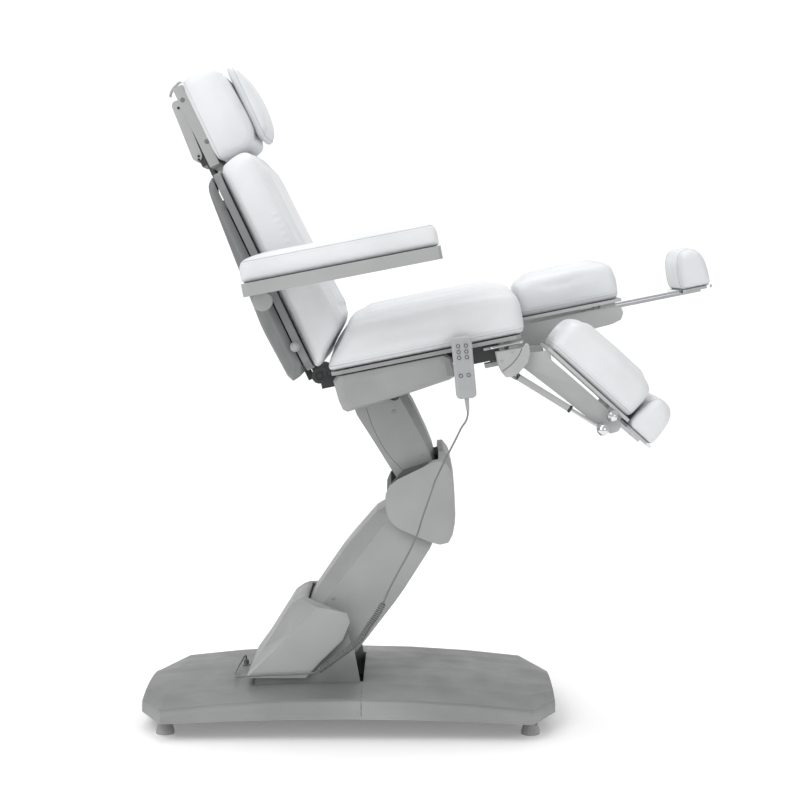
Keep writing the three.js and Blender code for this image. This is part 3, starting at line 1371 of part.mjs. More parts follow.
function addCord() {
  const plug = join(
    barZ(plugX, plugY, plugRadius, plugFoot, plugTop, 12),
    barZ(plugX, plugY, plugStemRadius, plugStemFoot, plugFoot + gap, 12),
  );
  addPiece(chair, "cord_plug", plug, materials.rubber);
  const step = 6 * cordRadius;
  addPiece(chair, "cord_lower_run", tube(lowerRunRoute, cordRadius, cordSides, step), materials.cord);
  addPiece(chair, "cord_coil", curlyCord(), materials.cord);
  addPiece(chair, "cord_upper_run", tube(upperRunRoute, cordRadius, cordSides, step), materials.cord);
  addPiece(chair, "cord_handset_run", tube(handsetRunRoute, cordRadius, cordSides, step), materials.cord);
}

addBase();
addPedestalCover();
addLowerArm();
addKnee();
addUpperArm();
addCarriage();
addSeat();
addBack();
addHeadrest();
addArmRest("right", -1);
addArmRest("left", 1);
addLegRest("right", -1, rightLegTilt, 0);
addLegRest("left", 1, leftLegTilt, leftFootExtension);
addHandset();
addCord();

// The origin is on the floor, under the middle of the chair without its cord
const part = new THREE.Group();
part.add(chair);
part.updateMatrixWorld(true);
const extent = new THREE.Box3();
chair.children.filter((child) => !child.name.startsWith("cord")).forEach((child) => {
  extent.expandByObject(child, true);
});
const middle = extent.getCenter(new THREE.Vector3());
chair.position.set(-middle.x, -middle.y, -extent.min.z);

export default part;
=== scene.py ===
"""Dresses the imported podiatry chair: upholstery, mouldings, metalwork, cord, floor, light and camera."""

from __future__ import annotations

import json
import logging
import math
from dataclasses import dataclass, field
from enum import Enum
from typing import Protocol

import bmesh
import bpy
from mathutils import Matrix, Vector
from mathutils.bvhtree import BVHTree

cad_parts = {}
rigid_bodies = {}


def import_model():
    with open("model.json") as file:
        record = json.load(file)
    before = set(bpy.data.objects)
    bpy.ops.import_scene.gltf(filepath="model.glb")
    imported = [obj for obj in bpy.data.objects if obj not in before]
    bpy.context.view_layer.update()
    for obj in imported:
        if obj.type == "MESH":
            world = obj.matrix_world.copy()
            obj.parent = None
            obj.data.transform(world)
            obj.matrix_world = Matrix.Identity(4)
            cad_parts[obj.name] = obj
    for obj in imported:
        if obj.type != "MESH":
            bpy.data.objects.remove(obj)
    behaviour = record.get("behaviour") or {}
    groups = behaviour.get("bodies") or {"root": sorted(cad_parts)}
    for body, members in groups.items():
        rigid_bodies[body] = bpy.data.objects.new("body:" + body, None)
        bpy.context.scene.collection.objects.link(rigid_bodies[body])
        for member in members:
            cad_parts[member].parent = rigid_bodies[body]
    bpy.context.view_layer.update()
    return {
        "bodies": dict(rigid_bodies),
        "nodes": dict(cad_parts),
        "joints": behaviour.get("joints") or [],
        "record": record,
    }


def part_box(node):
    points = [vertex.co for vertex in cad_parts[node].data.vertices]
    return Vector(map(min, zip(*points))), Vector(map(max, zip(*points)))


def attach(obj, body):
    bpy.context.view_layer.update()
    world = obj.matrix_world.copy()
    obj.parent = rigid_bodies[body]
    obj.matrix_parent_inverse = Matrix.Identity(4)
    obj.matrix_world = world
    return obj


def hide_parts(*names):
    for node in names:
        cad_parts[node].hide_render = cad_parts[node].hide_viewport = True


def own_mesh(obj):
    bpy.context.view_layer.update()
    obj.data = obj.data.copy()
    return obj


LOG = logging.getLogger("podiatry_chair")
MILLIMETRE = 0.001
# The frame's origin is under the middle of the chair, this far along X from the middle of its base
BASE_MIDDLE_X = -0.18103
Pair = tuple[float, float]
Triple = tuple[float, float, float]


def linear(hex_colour: str) -> tuple[float, float, float, float]:
    """Turns a hex colour into linear RGBA.

    Args:
        hex_colour: A colour such as "#9c9f9e".

    Returns:
        Red, green, blue and alpha, as Blender's sockets take them.
    """
    parts = [int(hex_colour[i : i + 2], 16) / 255 for i in (1, 3, 5)]
    bent = [p / 12.92 if p <= 0.04045 else ((p + 0.055) / 1.055) ** 2.4 for p in parts]
    return (*bent, 1.0)


class Nodes:
    """A short way to add and join the nodes of one tree."""

    def __init__(self, tree: bpy.types.NodeTree) -> None:
        """Keeps the tree that the nodes go into."""
        self.tree = tree

    def add(self, kind: str, **settings: object) -> bpy.types.Node:
        """Adds a node.

        Args:
            kind: Blender's type name of the node.
            **settings: Its properties and its inputs' values, by name; an underscore stands for a space.

        Returns:
            The new node.
        """
        node = self.tree.nodes.new(kind)
        for name, value in settings.items():
            if hasattr(node, name):
                setattr(node, name, value)
            else:
                node.inputs[name.replace("_", " ")].default_value = value
        return node

    def join(self, source: bpy.types.NodeSocket, target: bpy.types.NodeSocket) -> None:
        """Links an output to an input."""
        self.tree.links.new(source, target)


class Texture(Enum):
    """The surface relief that a finish carries."""

    GRAIN = "leather grain"
    SPARK = "spark-eroded mould texture"
    SPRAY = "orange peel of sprayed paint"
    POLISH = "fine polishing marks"


@dataclass(frozen=True)
class Finish:
    """One finish of the chair: its colours, gloss and relief, from the piece's own coordinates."""

    name: str
    slot: str
    colour: str
    shade: str
    roughness: float
    texture: Texture
    relief: float = 0.15
    metallic: float = 0.0
    # The colour of the painted highlight on sharp convex edges, and how strongly it is mixed in
    edge: str | None = None
    edge_highlight_share: float = 0.35
    coat: float = 0.0
    sheen: float = 0.0
    pebble: float = 620.0
    glow: float = 0.0

    def material(self) -> bpy.types.Material:
        """Builds the finish once and gives it again on later calls.

        Returns:
            The finish's Blender material.
        """
        found = bpy.data.materials.get(self.name)
        if found:
            return found
        made = bpy.data.materials.new(self.name)
        made.use_nodes = True
        made.diffuse_color = linear(self.colour)
        nodes = Nodes(made.node_tree)
        shader = made.node_tree.nodes["Principled BSDF"]
        shader.inputs["Metallic"].default_value = self.metallic
        shader.inputs["Coat Weight"].default_value = self.coat
        shader.inputs["Sheen Weight"].default_value = self.sheen
        shader.inputs["Emission Color"].default_value = (1.0, 1.0, 1.0, 1.0)
        shader.inputs["Emission Strength"].default_value = self.glow
        place = nodes.add("ShaderNodeTexCoord").outputs["Object"]
        nodes.join(self._colours(nodes, place), shader.inputs["Base Color"])
        nodes.join(self._gloss(nodes, place), shader.inputs["Roughness"])
        nodes.join(self._bumps(nodes, place), shader.inputs["Normal"])
        return made

    def _colours(self, nodes: Nodes, place: bpy.types.NodeSocket) -> bpy.types.NodeSocket:
        """Mixes the two colours in soft clouds, and lightens sharp convex edges as a painted highlight.

        Args:
            nodes: The material's nodes.
            place: The piece's own coordinates.

        Returns:
            The colour to shade with.
        """
        clouds = nodes.add("ShaderNodeTexNoise", Scale=7.0, Detail=3.0, Roughness=0.55)
        nodes.join(place, clouds.inputs["Vector"])
        spread = nodes.add("ShaderNodeMapRange", From_Min=0.35, From_Max=0.65)
        nodes.join(clouds.outputs["Fac"], spread.inputs["Value"])
        mixed = nodes.add("ShaderNodeMix", data_type="RGBA")
        mixed.inputs[6].default_value = linear(self.colour)
        mixed.inputs[7].default_value = linear(self.shade)
        nodes.join(spread.outputs["Result"], mixed.inputs["Factor"])
        if self.edge is None:
            return mixed.outputs[2]
        # Painted highlight: sharp convex edges, found by pointiness, are mixed towards the lighter edge
        # colour
        edge_highlight = nodes.add("ShaderNodeMix", data_type="RGBA")
        corners = nodes.add("ShaderNodeNewGeometry").outputs["Pointiness"]
        ridge = nodes.add("ShaderNodeMapRange", From_Min=0.53, From_Max=0.62, To_Max=self.edge_highlight_share)
        nodes.join(corners, ridge.inputs["Value"])
        nodes.join(ridge.outputs["Result"], edge_highlight.inputs["Factor"])
        nodes.join(mixed.outputs[2], edge_highlight.inputs[6])
        edge_highlight.inputs[7].default_value = linear(self.edge)
        return edge_highlight.outputs[2]

    def _gloss(self, nodes: Nodes, place: bpy.types.NodeSocket) -> bpy.types.NodeSocket:
        """Varies the roughness a little, as handling and cleaning do.

        Args:
            nodes: The material's nodes.
            place: The piece's own coordinates.

        Returns:
            The roughness to shade with.
        """
        wiped = nodes.add("ShaderNodeTexNoise", Scale=16.0, Detail=4.0)
        nodes.join(place, wiped.inputs["Vector"])
        spread = nodes.add(
            "ShaderNodeMapRange",
            From_Min=0.3,
            From_Max=0.7,
            To_Min=self.roughness * 0.86,
            To_Max=min(1.0, self.roughness * 1.14),
        )
        nodes.join(wiped.outputs["Fac"], spread.inputs["Value"])
        return spread.outputs["Result"]

    def _bumps(self, nodes: Nodes, place: bpy.types.NodeSocket) -> bpy.types.NodeSocket:
        """Builds the relief of the finish.

        Args:
            nodes: The material's nodes.
            place: The piece's own coordinates.

        Returns:
            The bumped normal.
        """
        bump = nodes.add("ShaderNodeBump", Strength=self.relief, Distance=0.0006)
        if self.texture is Texture.GRAIN:
            cells = nodes.add("ShaderNodeTexVoronoi", feature="DISTANCE_TO_EDGE", Scale=self.pebble)
            nodes.join(place, cells.inputs["Vector"])
            valley = nodes.add("ShaderNodeMapRange", From_Max=0.09)
            nodes.join(cells.outputs["Distance"], valley.inputs["Value"])
            pull = nodes.add("ShaderNodeTexNoise", Scale=26.0, Detail=3.0, Distortion=0.4)
            nodes.join(place, pull.inputs["Vector"])
            total = nodes.add("ShaderNodeMath", operation="MULTIPLY_ADD")
            total.inputs[1].default_value = 3.0
            nodes.join(pull.outputs["Fac"], total.inputs[0])
            nodes.join(valley.outputs["Result"], total.inputs[2])
            nodes.join(total.outputs["Value"], bump.inputs["Height"])
            return bump.outputs["Normal"]
        scale = {Texture.SPARK: 1500.0, Texture.SPRAY: 480.0, Texture.POLISH: 900.0}[self.texture]
        fine = nodes.add("ShaderNodeTexNoise", Scale=scale, Detail=2.0)
        if self.texture is Texture.POLISH:
            drawn = nodes.add("ShaderNodeMapping")
            drawn.inputs["Scale"].default_value = (0.06, 1.0, 0.06)
            nodes.join(place, drawn.inputs["Vector"])
            nodes.join(drawn.outputs["Vector"], fine.inputs["Vector"])
        else:
            nodes.join(place, fine.inputs["Vector"])
        nodes.join(fine.outputs["Fac"], bump.inputs["Height"])
        return bump.outputs["Normal"]


LEATHERETTE = Finish(
    "white_leatherette", "leatherette", "#dcdee0", "#d4d6d8", 0.46, Texture.GRAIN, 0.16, sheen=0.05
)
THREAD = Finish("seam_thread", "leatherette", "#c6c8ca", "#babcbe", 0.7, Texture.GRAIN, 0.3)
COVER = Finish(
    "grey_moulding", "grey_plastic", "#999a9a", "#8f9090", 0.5, Texture.SPARK, 0.16, edge="#c3c5c4"
)
BASE_COVER = Finish(
    "grey_base_moulding", "base_plastic", "#858686", "#7b7c7c", 0.5, Texture.SPARK, 0.2, edge="#b9bbba"
)
BACK_SHELL = Finish(
    "dark_grey_moulding", "shell_plastic", "#757677", "#6d6e6f", 0.55, Texture.SPARK, 0.2, edge="#a3a4a4"
)
GREY_METAL = Finish(
    "grey_powder_coat", "grey_metal", "#a7a8a8", "#9fa0a0", 0.42, Texture.SPRAY, 0.12, edge="#cfcfce"
)
DARK_STEEL = Finish(
    "black_painted_steel", "dark_steel", "#2a2b2d", "#1f2022", 0.45, Texture.SPRAY, 0.14, edge="#6a6b6d"
)
CHROME = Finish(
    "polished_chrome", "chrome", "#dcdee0", "#cfd1d4", 0.14, Texture.POLISH, 0.05, metallic=1.0
)
BLACK_PLASTIC = Finish(
    "black_moulding", "dark_steel", "#232425", "#1b1c1d", 0.38, Texture.SPARK, 0.12, edge="#4a4b4c"
)
RUBBER = Finish("foot_rubber", "foot_rubber", "#626262", "#565656", 0.72, Texture.SPARK, 0.3)
HANDSET = Finish(
    "handset_moulding", "handset_plastic", "#a2a4a5", "#9a9c9d", 0.46, Texture.SPARK, 0.1, edge="#c4c6c6"
)
KEY = Finish("key_cap", "key_plastic", "#b9bbbc", "#b1b3b4", 0.32, Texture.SPRAY, 0.06, coat=0.2)
SYMBOL = Finish("key_symbol_ink", "key_plastic", "#26282a", "#202224", 0.5, Texture.SPRAY, 0.05)
CORD = Finish("cord_sheath", "cord_rubber", "#7b7d7e", "#6c6e6f", 0.5, Texture.SPARK, 0.15)
# Painted shade: the dark colour of the lines laid where mouldings meet or a groove runs, standing in for the
# shade inside the gap
GAP_SHADE = Finish("shadow_gap", "grey_plastic", "#6d6f6f", "#646666", 0.7, Texture.SPARK, 0.1)
PAPER = Finish(
    "backdrop_paper", "backdrop", "#fbfbfb", "#fafafa", 0.85, Texture.SPARK, 0.02, glow=0.2
)


@dataclass(frozen=True)
class Place:
    """The axes of one sub-assembly: its origin from the base's middle, and its turn about Y."""

    x: float
    z: float
    degrees: float

    def at(self, x: float, y: float, z: float) -> Vector:
        """Gives a point of the sub-assembly in the frame's metres.

        Args:
            x: Millimetres along the sub-assembly's own X.
            y: Millimetres towards the sitter's left.
            z: Millimetres along its own Z.

        Returns:
            The same point in the row frame.
        """
        turn = math.radians(self.degrees)
        across = self.x + x * math.cos(turn) - z * math.sin(turn)
        up = self.z + x * math.sin(turn) + z * math.cos(turn)
        return Vector((across * MILLIMETRE + BASE_MIDDLE_X, y * MILLIMETRE, up * MILLIMETRE))

    def aim(self, x: float, y: float, z: float) -> Vector:
        """Gives a direction of the sub-assembly in the row frame."""
        return (self.at(x, y, z) - self.at(0, 0, 0)).normalized()

    def inside(self, x: float, z: float, degrees: float) -> Place:
        """Gives the axes of a piece that is carried in these."""
        point = self.at(x, 0, z)
        return Place((point.x - BASE_MIDDLE_X) / MILLIMETRE, point.z / MILLIMETRE, self.degrees + degrees)

    def matrix(self) -> Matrix:
        """Gives the matrix that takes the sub-assembly's metres to the row frame."""
        turn = Matrix.Rotation(-math.radians(self.degrees), 4, "Y")
        return Matrix.Translation(self.at(0, 0, 0)) @ turn


GROUND = Place(0, 0, 0)
LOWER_ARM_LENGTH, LOWER_ARM_LEAN = 397.3, 54.63 - 90
UPPER_ARM_LENGTH, UPPER_ARM_LEAN = 248.2, 117.6 - 90
SEAT_TILT = 11.4
LOWER_ARM = Place(-80, 128, LOWER_ARM_LEAN)
KNEE = LOWER_ARM.inside(0, LOWER_ARM_LENGTH, -LOWER_ARM_LEAN)
UPPER_ARM = KNEE.inside(10, 83, UPPER_ARM_LEAN)
CARRIAGE = UPPER_ARM.inside(0, UPPER_ARM_LENGTH, -UPPER_ARM_LEAN)
SEAT = CARRIAGE.inside(0, 0, SEAT_TILT)
BACK = SEAT.inside(-102.3, 33.9, 14.1)
ARM_REST = BACK.inside(-25, 195, -14.5)
BRACKET = SEAT.inside(315, 3.8, 0)
LEG = {-1: BRACKET.inside(0, 0, -53.4), 1: BRACKET}
FOOT_SLIDE = {-1: LEG[-1], 1: LEG[1].inside(133, 0, 0)}
SIDES = {"right": -1, "left": 1}


def new_piece(
    name: str, shape: bmesh.types.BMesh | bpy.types.Mesh, finish: Finish, smooth: bool = True
) -> bpy.types.Object:
    """Puts a mesh in the scene as one piece.

    Args:
        name: The piece's name.
        shape: Its mesh, in the row frame.
        finish: Its finish.
        smooth: Whether its faces are shaded smooth.

    Returns:
        The new object, at the origin.
    """
    if isinstance(shape, bmesh.types.BMesh):
        mesh = bpy.data.meshes.new(name)
        shape.to_mesh(mesh)
        shape.free()
    else:
        mesh = shape
        mesh.name = name
    mesh.materials.clear()
    mesh.materials.append(finish.material())
    mesh.polygons.foreach_set("material_index", [0] * len(mesh.polygons))
    mesh.polygons.foreach_set("use_smooth", [smooth] * len(mesh.polygons))
    piece = bpy.data.objects.new(name, mesh)
    bpy.context.scene.collection.objects.link(piece)
    return piece


def settle(piece: bpy.types.Object) -> bpy.types.Object:
    """Bakes the piece's live modifiers into its mesh.

    Args:
        piece: The object with modifiers.

    Returns:
        The same object, with a plain mesh.
    """
    graph = bpy.context.evaluated_depsgraph_get()
    made = bpy.data.meshes.new_from_object(piece.evaluated_get(graph), depsgraph=graph)
    piece.modifiers.clear()
    old = piece.data
    piece.data = made
    made.name = piece.name
    bpy.data.meshes.remove(old)
    return piece


def smooth_line(points: list[Vector], step: float) -> list[Vector]:
    """Runs a centripetal curve through the points.

    Args:
        points: The points that the line passes.
        step: About how far apart the new points are, in metres.

    Returns:
        Points close together along the curve.
    """
    ends = [2 * points[0] - points[1], *points, 2 * points[-1] - points[-2]]
    line: list[Vector] = []
    for a, b, c, d in zip(ends, ends[1:], ends[2:], ends[3:]):
        t1 = math.sqrt((b - a).length)
        t2 = t1 + math.sqrt((c - b).length)
        t3 = t2 + math.sqrt((d - c).length)
        count = max(2, round((c - b).length / step))
        for i in range(count):
            t = t1 + (t2 - t1) * i / count
            ab = a.lerp(b, t / t1)
            bc = b.lerp(c, (t - t1) / (t2 - t1))
            cd = c.lerp(d, (t - t2) / (t3 - t2))
            abc = ab.lerp(bc, t / t2)
            bcd = bc.lerp(cd, (t - t1) / (t3 - t1))
            line.append(abc.lerp(bcd, (t - t1) / (t2 - t1)))
    return [*line, points[-1].copy()]


def sweep(line: list[Vector], radii: list[float], sides: int, closed: bool = False) -> bmesh.types.BMesh:
    """Makes a round tube along a line, with closed ends.

    Args:
        line: The centreline.
        radii: The radius at each point.
        sides: How many sides the tube has.
        closed: Whether the line is a loop.

    Returns:
        The tube's mesh.
    """
    made = bmesh.new()
    count = len(line)
    rings: list[list[bmesh.types.BMVert]] = []
    tangent = (line[1] - line[0]).normalized()
    normal = tangent.orthogonal().normalized()
    for i, (point, radius) in enumerate(zip(line, radii)):
        before = line[i - 1] if i or closed else line[0]
        after = line[(i + 1) % count] if i < count - 1 or closed else line[-1]
        tangent = (after - before).normalized()
        normal = (normal - tangent * normal.dot(tangent)).normalized()
        side = tangent.cross(normal)
        turns = [2 * math.pi * k / sides for k in range(sides)]
        rings.append([
            made.verts.new(point + radius * (math.cos(a) * normal + math.sin(a) * side)) for a in turns
        ])
    pairs = list(zip(rings, rings[1:]))
    if closed:
        shift = min(range(sides), key=lambda k: (rings[-1][0].co - rings[0][k].co).length)
        pairs.append((rings[-1], rings[0][shift:] + rings[0][:shift]))
    for a, b in pairs:
        for k in range(sides):
            made.faces.new((a[k], a[(k + 1) % sides], b[(k + 1) % sides], b[k]))
    if not closed:
        made.faces.new(list(reversed(rings[0])))
        made.faces.new(rings[-1])
    made.normal_update()
    return made


def skin_rows(made: bmesh.types.BMesh, rows: list[list[bmesh.types.BMVert]]) -> None:
    """Joins neighbouring rows of points with faces.

    Args:
        made: The mesh that takes the faces.
        rows: Rows of as many points each.
    """
    for a, b in zip(rows, rows[1:]):
        for i in range(len(a) - 1):
            made.faces.new((a[i], a[i + 1], b[i + 1], b[i]))


def thicken(piece: bpy.types.Object, millimetres: float) -> None:
    """Gives a sheet its wall, half to each side."""
    wall = piece.modifiers.new("wall", "SOLIDIFY")
    wall.thickness = millimetres * MILLIMETRE
    wall.offset = 0.0
    settle(piece)


def side_name(side: int) -> str:
    """Names the sitter's side: -1 is the right and 1 the left."""
    return "right" if side < 0 else "left"


@dataclass(frozen=True)
class Studio:
    """The pale floor, the soft lights and the photograph's camera, in metres."""

    floor_reach: float = 7.0
    sweep_start: float = 2.6
    sweep_radius: float = 1.6
    sweep_steps: int = 16
    world_strength: float = 0.56
    camera_from_base: Triple = (0.136, -3.98, 1.02)
    pitch_degrees: float = 4.5165
    yaw_degrees: float = 0.3531
    focal_pixels: float = 1785.0
    picture_pixels: float = 800.0
    sensor: float = 36.0

    def build(self) -> None:
        """Makes the camera, the backdrop, the world and the lights."""
        self._camera()
        self._backdrop()
        self._world()
        self._light("key_light", (-1.9, -2.6, 3.2), (0.0, 0.0, 0.7), 2.6, 68)
        self._light("fill_light", (2.8, -3.2, 2.2), (0.1, 0.0, 0.7), 2.4, 22)
        self._light("top_light", (-0.1, 0.3, 3.5), (0.0, 0.0, 0.5), 1.7, 33)

    def _camera(self) -> None:
        """Puts the camera where the photograph was taken from."""
        data = bpy.data.cameras.new("photo_camera")
        data.sensor_width = self.sensor
        data.lens = self.focal_pixels * self.sensor / self.picture_pixels
        camera = bpy.data.objects.new("photo_camera", data)
        bpy.context.scene.collection.objects.link(camera)
        x, y, z = self.camera_from_base
        camera.location = (x + BASE_MIDDLE_X, y, z)
        pitch, yaw = math.radians(self.pitch_degrees), math.radians(self.yaw_degrees)
        look = Vector((-math.sin(yaw) * math.cos(pitch), math.cos(yaw) * math.cos(pitch), -math.sin(pitch)))
        camera.rotation_euler = look.to_track_quat("-Z", "Y").to_euler()
        bpy.context.scene.camera = camera

    def _backdrop(self) -> None:
        """Makes the floor and the wall that it sweeps up into."""
        made = bmesh.new()
        profile = [(-self.floor_reach, 0.0), (self.sweep_start, 0.0)]
        for i in range(1, self.sweep_steps + 1):
            turn = math.pi / 2 * i / self.sweep_steps
            profile.append((
                self.sweep_start + self.sweep_radius * math.sin(turn),
                self.sweep_radius * (1 - math.cos(turn)),
            ))
        profile.append((self.sweep_start + self.sweep_radius, self.floor_reach))
        ends = (-self.floor_reach, self.floor_reach)
        rows = [[made.verts.new((x, y, z)) for x in ends] for y, z in profile]
        skin_rows(made, rows)
        made.normal_update()
        floor = new_piece("studio_floor", made, PAPER)

    def _world(self) -> None:
        """Lights the room evenly and sets a plain rendering of white."""
        world = bpy.data.worlds.new("studio")
        world.use_nodes = True
        background = world.node_tree.nodes["Background"]
        background.inputs["Color"].default_value = (1.0, 1.0, 1.0, 1.0)
        background.inputs["Strength"].default_value = self.world_strength
        bpy.context.scene.world = world
        bpy.context.scene.view_settings.view_transform = "Standard"

    def _light(self, name: str, place: Triple, aim: Triple, side: float, power: float) -> None:
        """Makes one soft square light.

        Args:
            name: The light's name.
            place: Where it hangs.
            aim: The point that it faces.
            side: The length of its side.
            power: Its power in watts.
        """
        data = bpy.data.lights.new(name, "AREA")
        data.size = side
        data.energy = power
        light = bpy.data.objects.new(name, data)
        bpy.context.scene.collection.objects.link(light)
        light.location = place
        light.rotation_euler = (Vector(aim) - Vector(place)).to_track_quat("-Z", "Y").to_euler()


@dataclass
class HandsetCord:
    """The cord from the base's socket to the handset: a run, a curly stretch and a run, in millimetres."""

    radius: float = 2.0
    coil_radius: float = 5.5
    curls: int = 44
    steps_per_curl: int = 14
    sides: int = 8
    follow: Triple = (-0.1546, 0.0, 0.988)
    follow_keep: float = 0.403
    lower_route: tuple[Triple, ...] = (
        (-240, 36, 108.3), (-240, 36, 113), (-240.6, 32, 118.5), (-243, 23, 118), (-247, 8, 112),
        (-251, -15, 107), (-253, -50, 105), (-253, -95, 106), (-250, -130, 109), (-242, -155, 113),
        (-226, -168, 117), (-200, -171, 119), (-165, -170.5, 121), (-130, -171, 122), (-96, -173, 124),
        (-72.2, -176.6, 127), (-68.9, -178.4, 128.4),
    )
    coil_route: tuple[Triple, ...] = (
        (-68.3, -178.8, 128.8), (-46, -181, 145), (-21, -184, 164), (6, -188, 185), (28, -192, 206),
        (45, -195, 233), (61, -198, 256), (74, -200.5, 279), (79, -202, 290),
    )
    upper_route: tuple[Triple, ...] = (
        (79.2, -202.1, 290.4), (80.6, -202.5, 294.2), (88, -205, 312), (100, -210, 337), (113, -216, 362),
        (128, -224, 391), (142, -233, 421), (150, -245, 442), (155, -258, 460), (160.5, -268, 480),
        (168, -272, 503), (176, -272, 526), (184, -272, 550), (186.8, -272.3, 558.4), (188, -273.7, 561.5),
        (188.2, -275.85, 562),
    )
    handset_route: tuple[Triple, ...] = (
        (188.2, -276.15, 562), (188.6, -278.8, 562.9), (190, -281.3, 566), (193, -282, 572.5),
        (205, -284, 599), (217, -288, 623), (229, -292, 647), (240.5, -296, 671), (250, -299, 686),
        (253.4, -300.4, 698), (253.9, -300.55, 704.2), (253.56, -300.55, 708.1),
    )

    def build(self) -> None:
        """Makes the two stretches of cord, which part where the seat's cord leaves the base's."""
        lower = smooth_line(self._points(self.lower_route), 0.003)
        upper = smooth_line(self._points(self.upper_route), 0.003)
        line = [*lower, *self._curls(), *upper]
        low = self._piece("handset_cord", line)
        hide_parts("cord_lower_run", "cord_coil", "cord_upper_run")
        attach(low, "base")
        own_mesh(low)
        top = smooth_line(self._points(self.handset_route), 0.003)
        high = self._piece("handset_cord_top", top)
        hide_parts("cord_handset_run")
        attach(high, "seat")
        LOG.info("cord: %.2f m and %.2f m", self._length(line), self._length(top))

    def _points(self, route: tuple[Triple, ...]) -> list[Vector]:
        """Takes a route to the row frame."""
        return [GROUND.at(*point) for point in route]

    def _length(self, line: list[Vector]) -> float:
        """Adds up a line's length in metres."""
        return sum((b - a).length for a, b in zip(line, line[1:]))

    def _curls(self) -> list[Vector]:
        """Winds the curly stretch round its own axis.

        Returns:
            The helix's points, opening from the straight cord and closing to it.
        """
        axis = smooth_line(self._points(self.coil_route), 0.0006)
        reach = [0.0]
        for a, b in zip(axis, axis[1:]):
            reach.append(reach[-1] + (b - a).length)
        steps = self.curls * self.steps_per_curl
        lead = 2 * self.radius * MILLIMETRE
        line: list[Vector] = []
        place = 0
        for i in range(steps + 1):
            along = lead + (reach[-1] - 2 * lead) * i / steps
            while place < len(reach) - 2 and reach[place + 1] < along:
                place += 1
            share = (along - reach[place]) / (reach[place + 1] - reach[place])
            tangent = (axis[place + 1] - axis[place]).normalized()
            across = Vector((0, 1, 0)).cross(tangent).normalized()
            up = tangent.cross(across)
            opened = min(1.0, i / self.steps_per_curl, (steps - i) / self.steps_per_curl)
            angle = 2 * math.pi * i / self.steps_per_curl
            outward = math.cos(angle) * across + math.sin(angle) * up
            offset = self.coil_radius * opened * MILLIMETRE * outward
            line.append(axis[place].lerp(axis[place + 1], share) + offset)
        return line

    def _piece(self, name: str, line: list[Vector]) -> bpy.types.Object:
        """Makes one stretch of cord as a piece."""
        return new_piece(name, sweep(line, [self.radius * MILLIMETRE] * len(line), self.sides), CORD)


class Recipe:
    """Base of the node recipes that make what repeats or follows a line."""

    name = "recipe"

    def __init__(self) -> None:
        """Builds the recipe's tree the first time it is asked for."""
        found = bpy.data.node_groups.get(self.name)
        if found:
            self.tree = found
            return
        self.tree = bpy.data.node_groups.new(self.name, "GeometryNodeTree")
        self.tree.interface.new_socket(name="Geometry", in_out="INPUT", socket_type="NodeSocketGeometry")
        self.tree.interface.new_socket(name="Geometry", in_out="OUTPUT", socket_type="NodeSocketGeometry")
        self.nodes = Nodes(self.tree)
        self.given = self.nodes.add("NodeGroupInput")
        self._lay_out()

    def _length_input(self, label: str) -> bpy.types.NodeSocket:
        """Adds a named length to the recipe and gives its socket."""
        self.tree.interface.new_socket(name=label, in_out="INPUT", socket_type="NodeSocketFloat")
        return self.given.outputs[label]

    def _finish_with(self, shape: bpy.types.NodeSocket) -> None:
        """Realizes the shape, gives it the material input and ends the tree.

        Args:
            shape: The geometry so far.
        """
        self.tree.interface.new_socket(name="Material", in_out="INPUT", socket_type="NodeSocketMaterial")
        real = self.nodes.add("GeometryNodeRealizeInstances")
        paint = self.nodes.add("GeometryNodeSetMaterial")
        end = self.nodes.add("NodeGroupOutput")
        self.nodes.join(shape, real.inputs["Geometry"])
        self.nodes.join(real.outputs["Geometry"], paint.inputs["Geometry"])
        self.nodes.join(self.given.outputs["Material"], paint.inputs["Material"])
        self.nodes.join(paint.outputs["Geometry"], end.inputs["Geometry"])

    def _lay_out(self) -> None:
        """Adds the recipe's own nodes."""
        raise NotImplementedError

    def make(self, name: str, start: bpy.types.Mesh, finish: Finish, **lengths: float) -> bpy.types.Object:
        """Runs the recipe on a mesh and keeps the result as a plain piece.

        Args:
            name: The piece's name.
            start: The points or line that the recipe works from.
            finish: The piece's finish.
            **lengths: The recipe's lengths in metres, by name; an underscore stands for a space.

        Returns:
            The finished piece, at the origin.
        """
        piece = bpy.data.objects.new(name, start)
        bpy.context.scene.collection.objects.link(piece)
        modifier = piece.modifiers.new(self.name, "NODES")
        modifier.node_group = self.tree
        values = {label.replace("_", " "): value for label, value in lengths.items()}
        values["Material"] = finish.material()
        for item in self.tree.interface.items_tree:
            if item.in_out == "INPUT" and item.name in values:
                modifier[item.identifier] = values[item.name]
        settle(piece)
        piece.data.polygons.foreach_set("use_smooth", [True] * len(piece.data.polygons))
        return piece


class Welt(Recipe):
    """A round cord that follows a line, for a sewn welt, or for the dark line of painted shade at a parting
    line.
    """

    name = "welt_along_a_line"

    def _lay_out(self) -> None:
        """Sweeps a circle along the line."""
        radius = self._length_input("Radius")
        line = self.nodes.add("GeometryNodeMeshToCurve")
        ring = self.nodes.add("GeometryNodeCurvePrimitiveCircle", Resolution=8)
        swept = self.nodes.add("GeometryNodeCurveToMesh", Fill_Caps=True)
        self.nodes.join(self.given.outputs["Geometry"], line.inputs["Mesh"])
        self.nodes.join(radius, ring.inputs["Radius"])
        self.nodes.join(line.outputs["Curve"], swept.inputs["Curve"])
        self.nodes.join(ring.outputs["Curve"], swept.inputs["Profile Curve"])
        self._finish_with(swept.outputs["Mesh"])


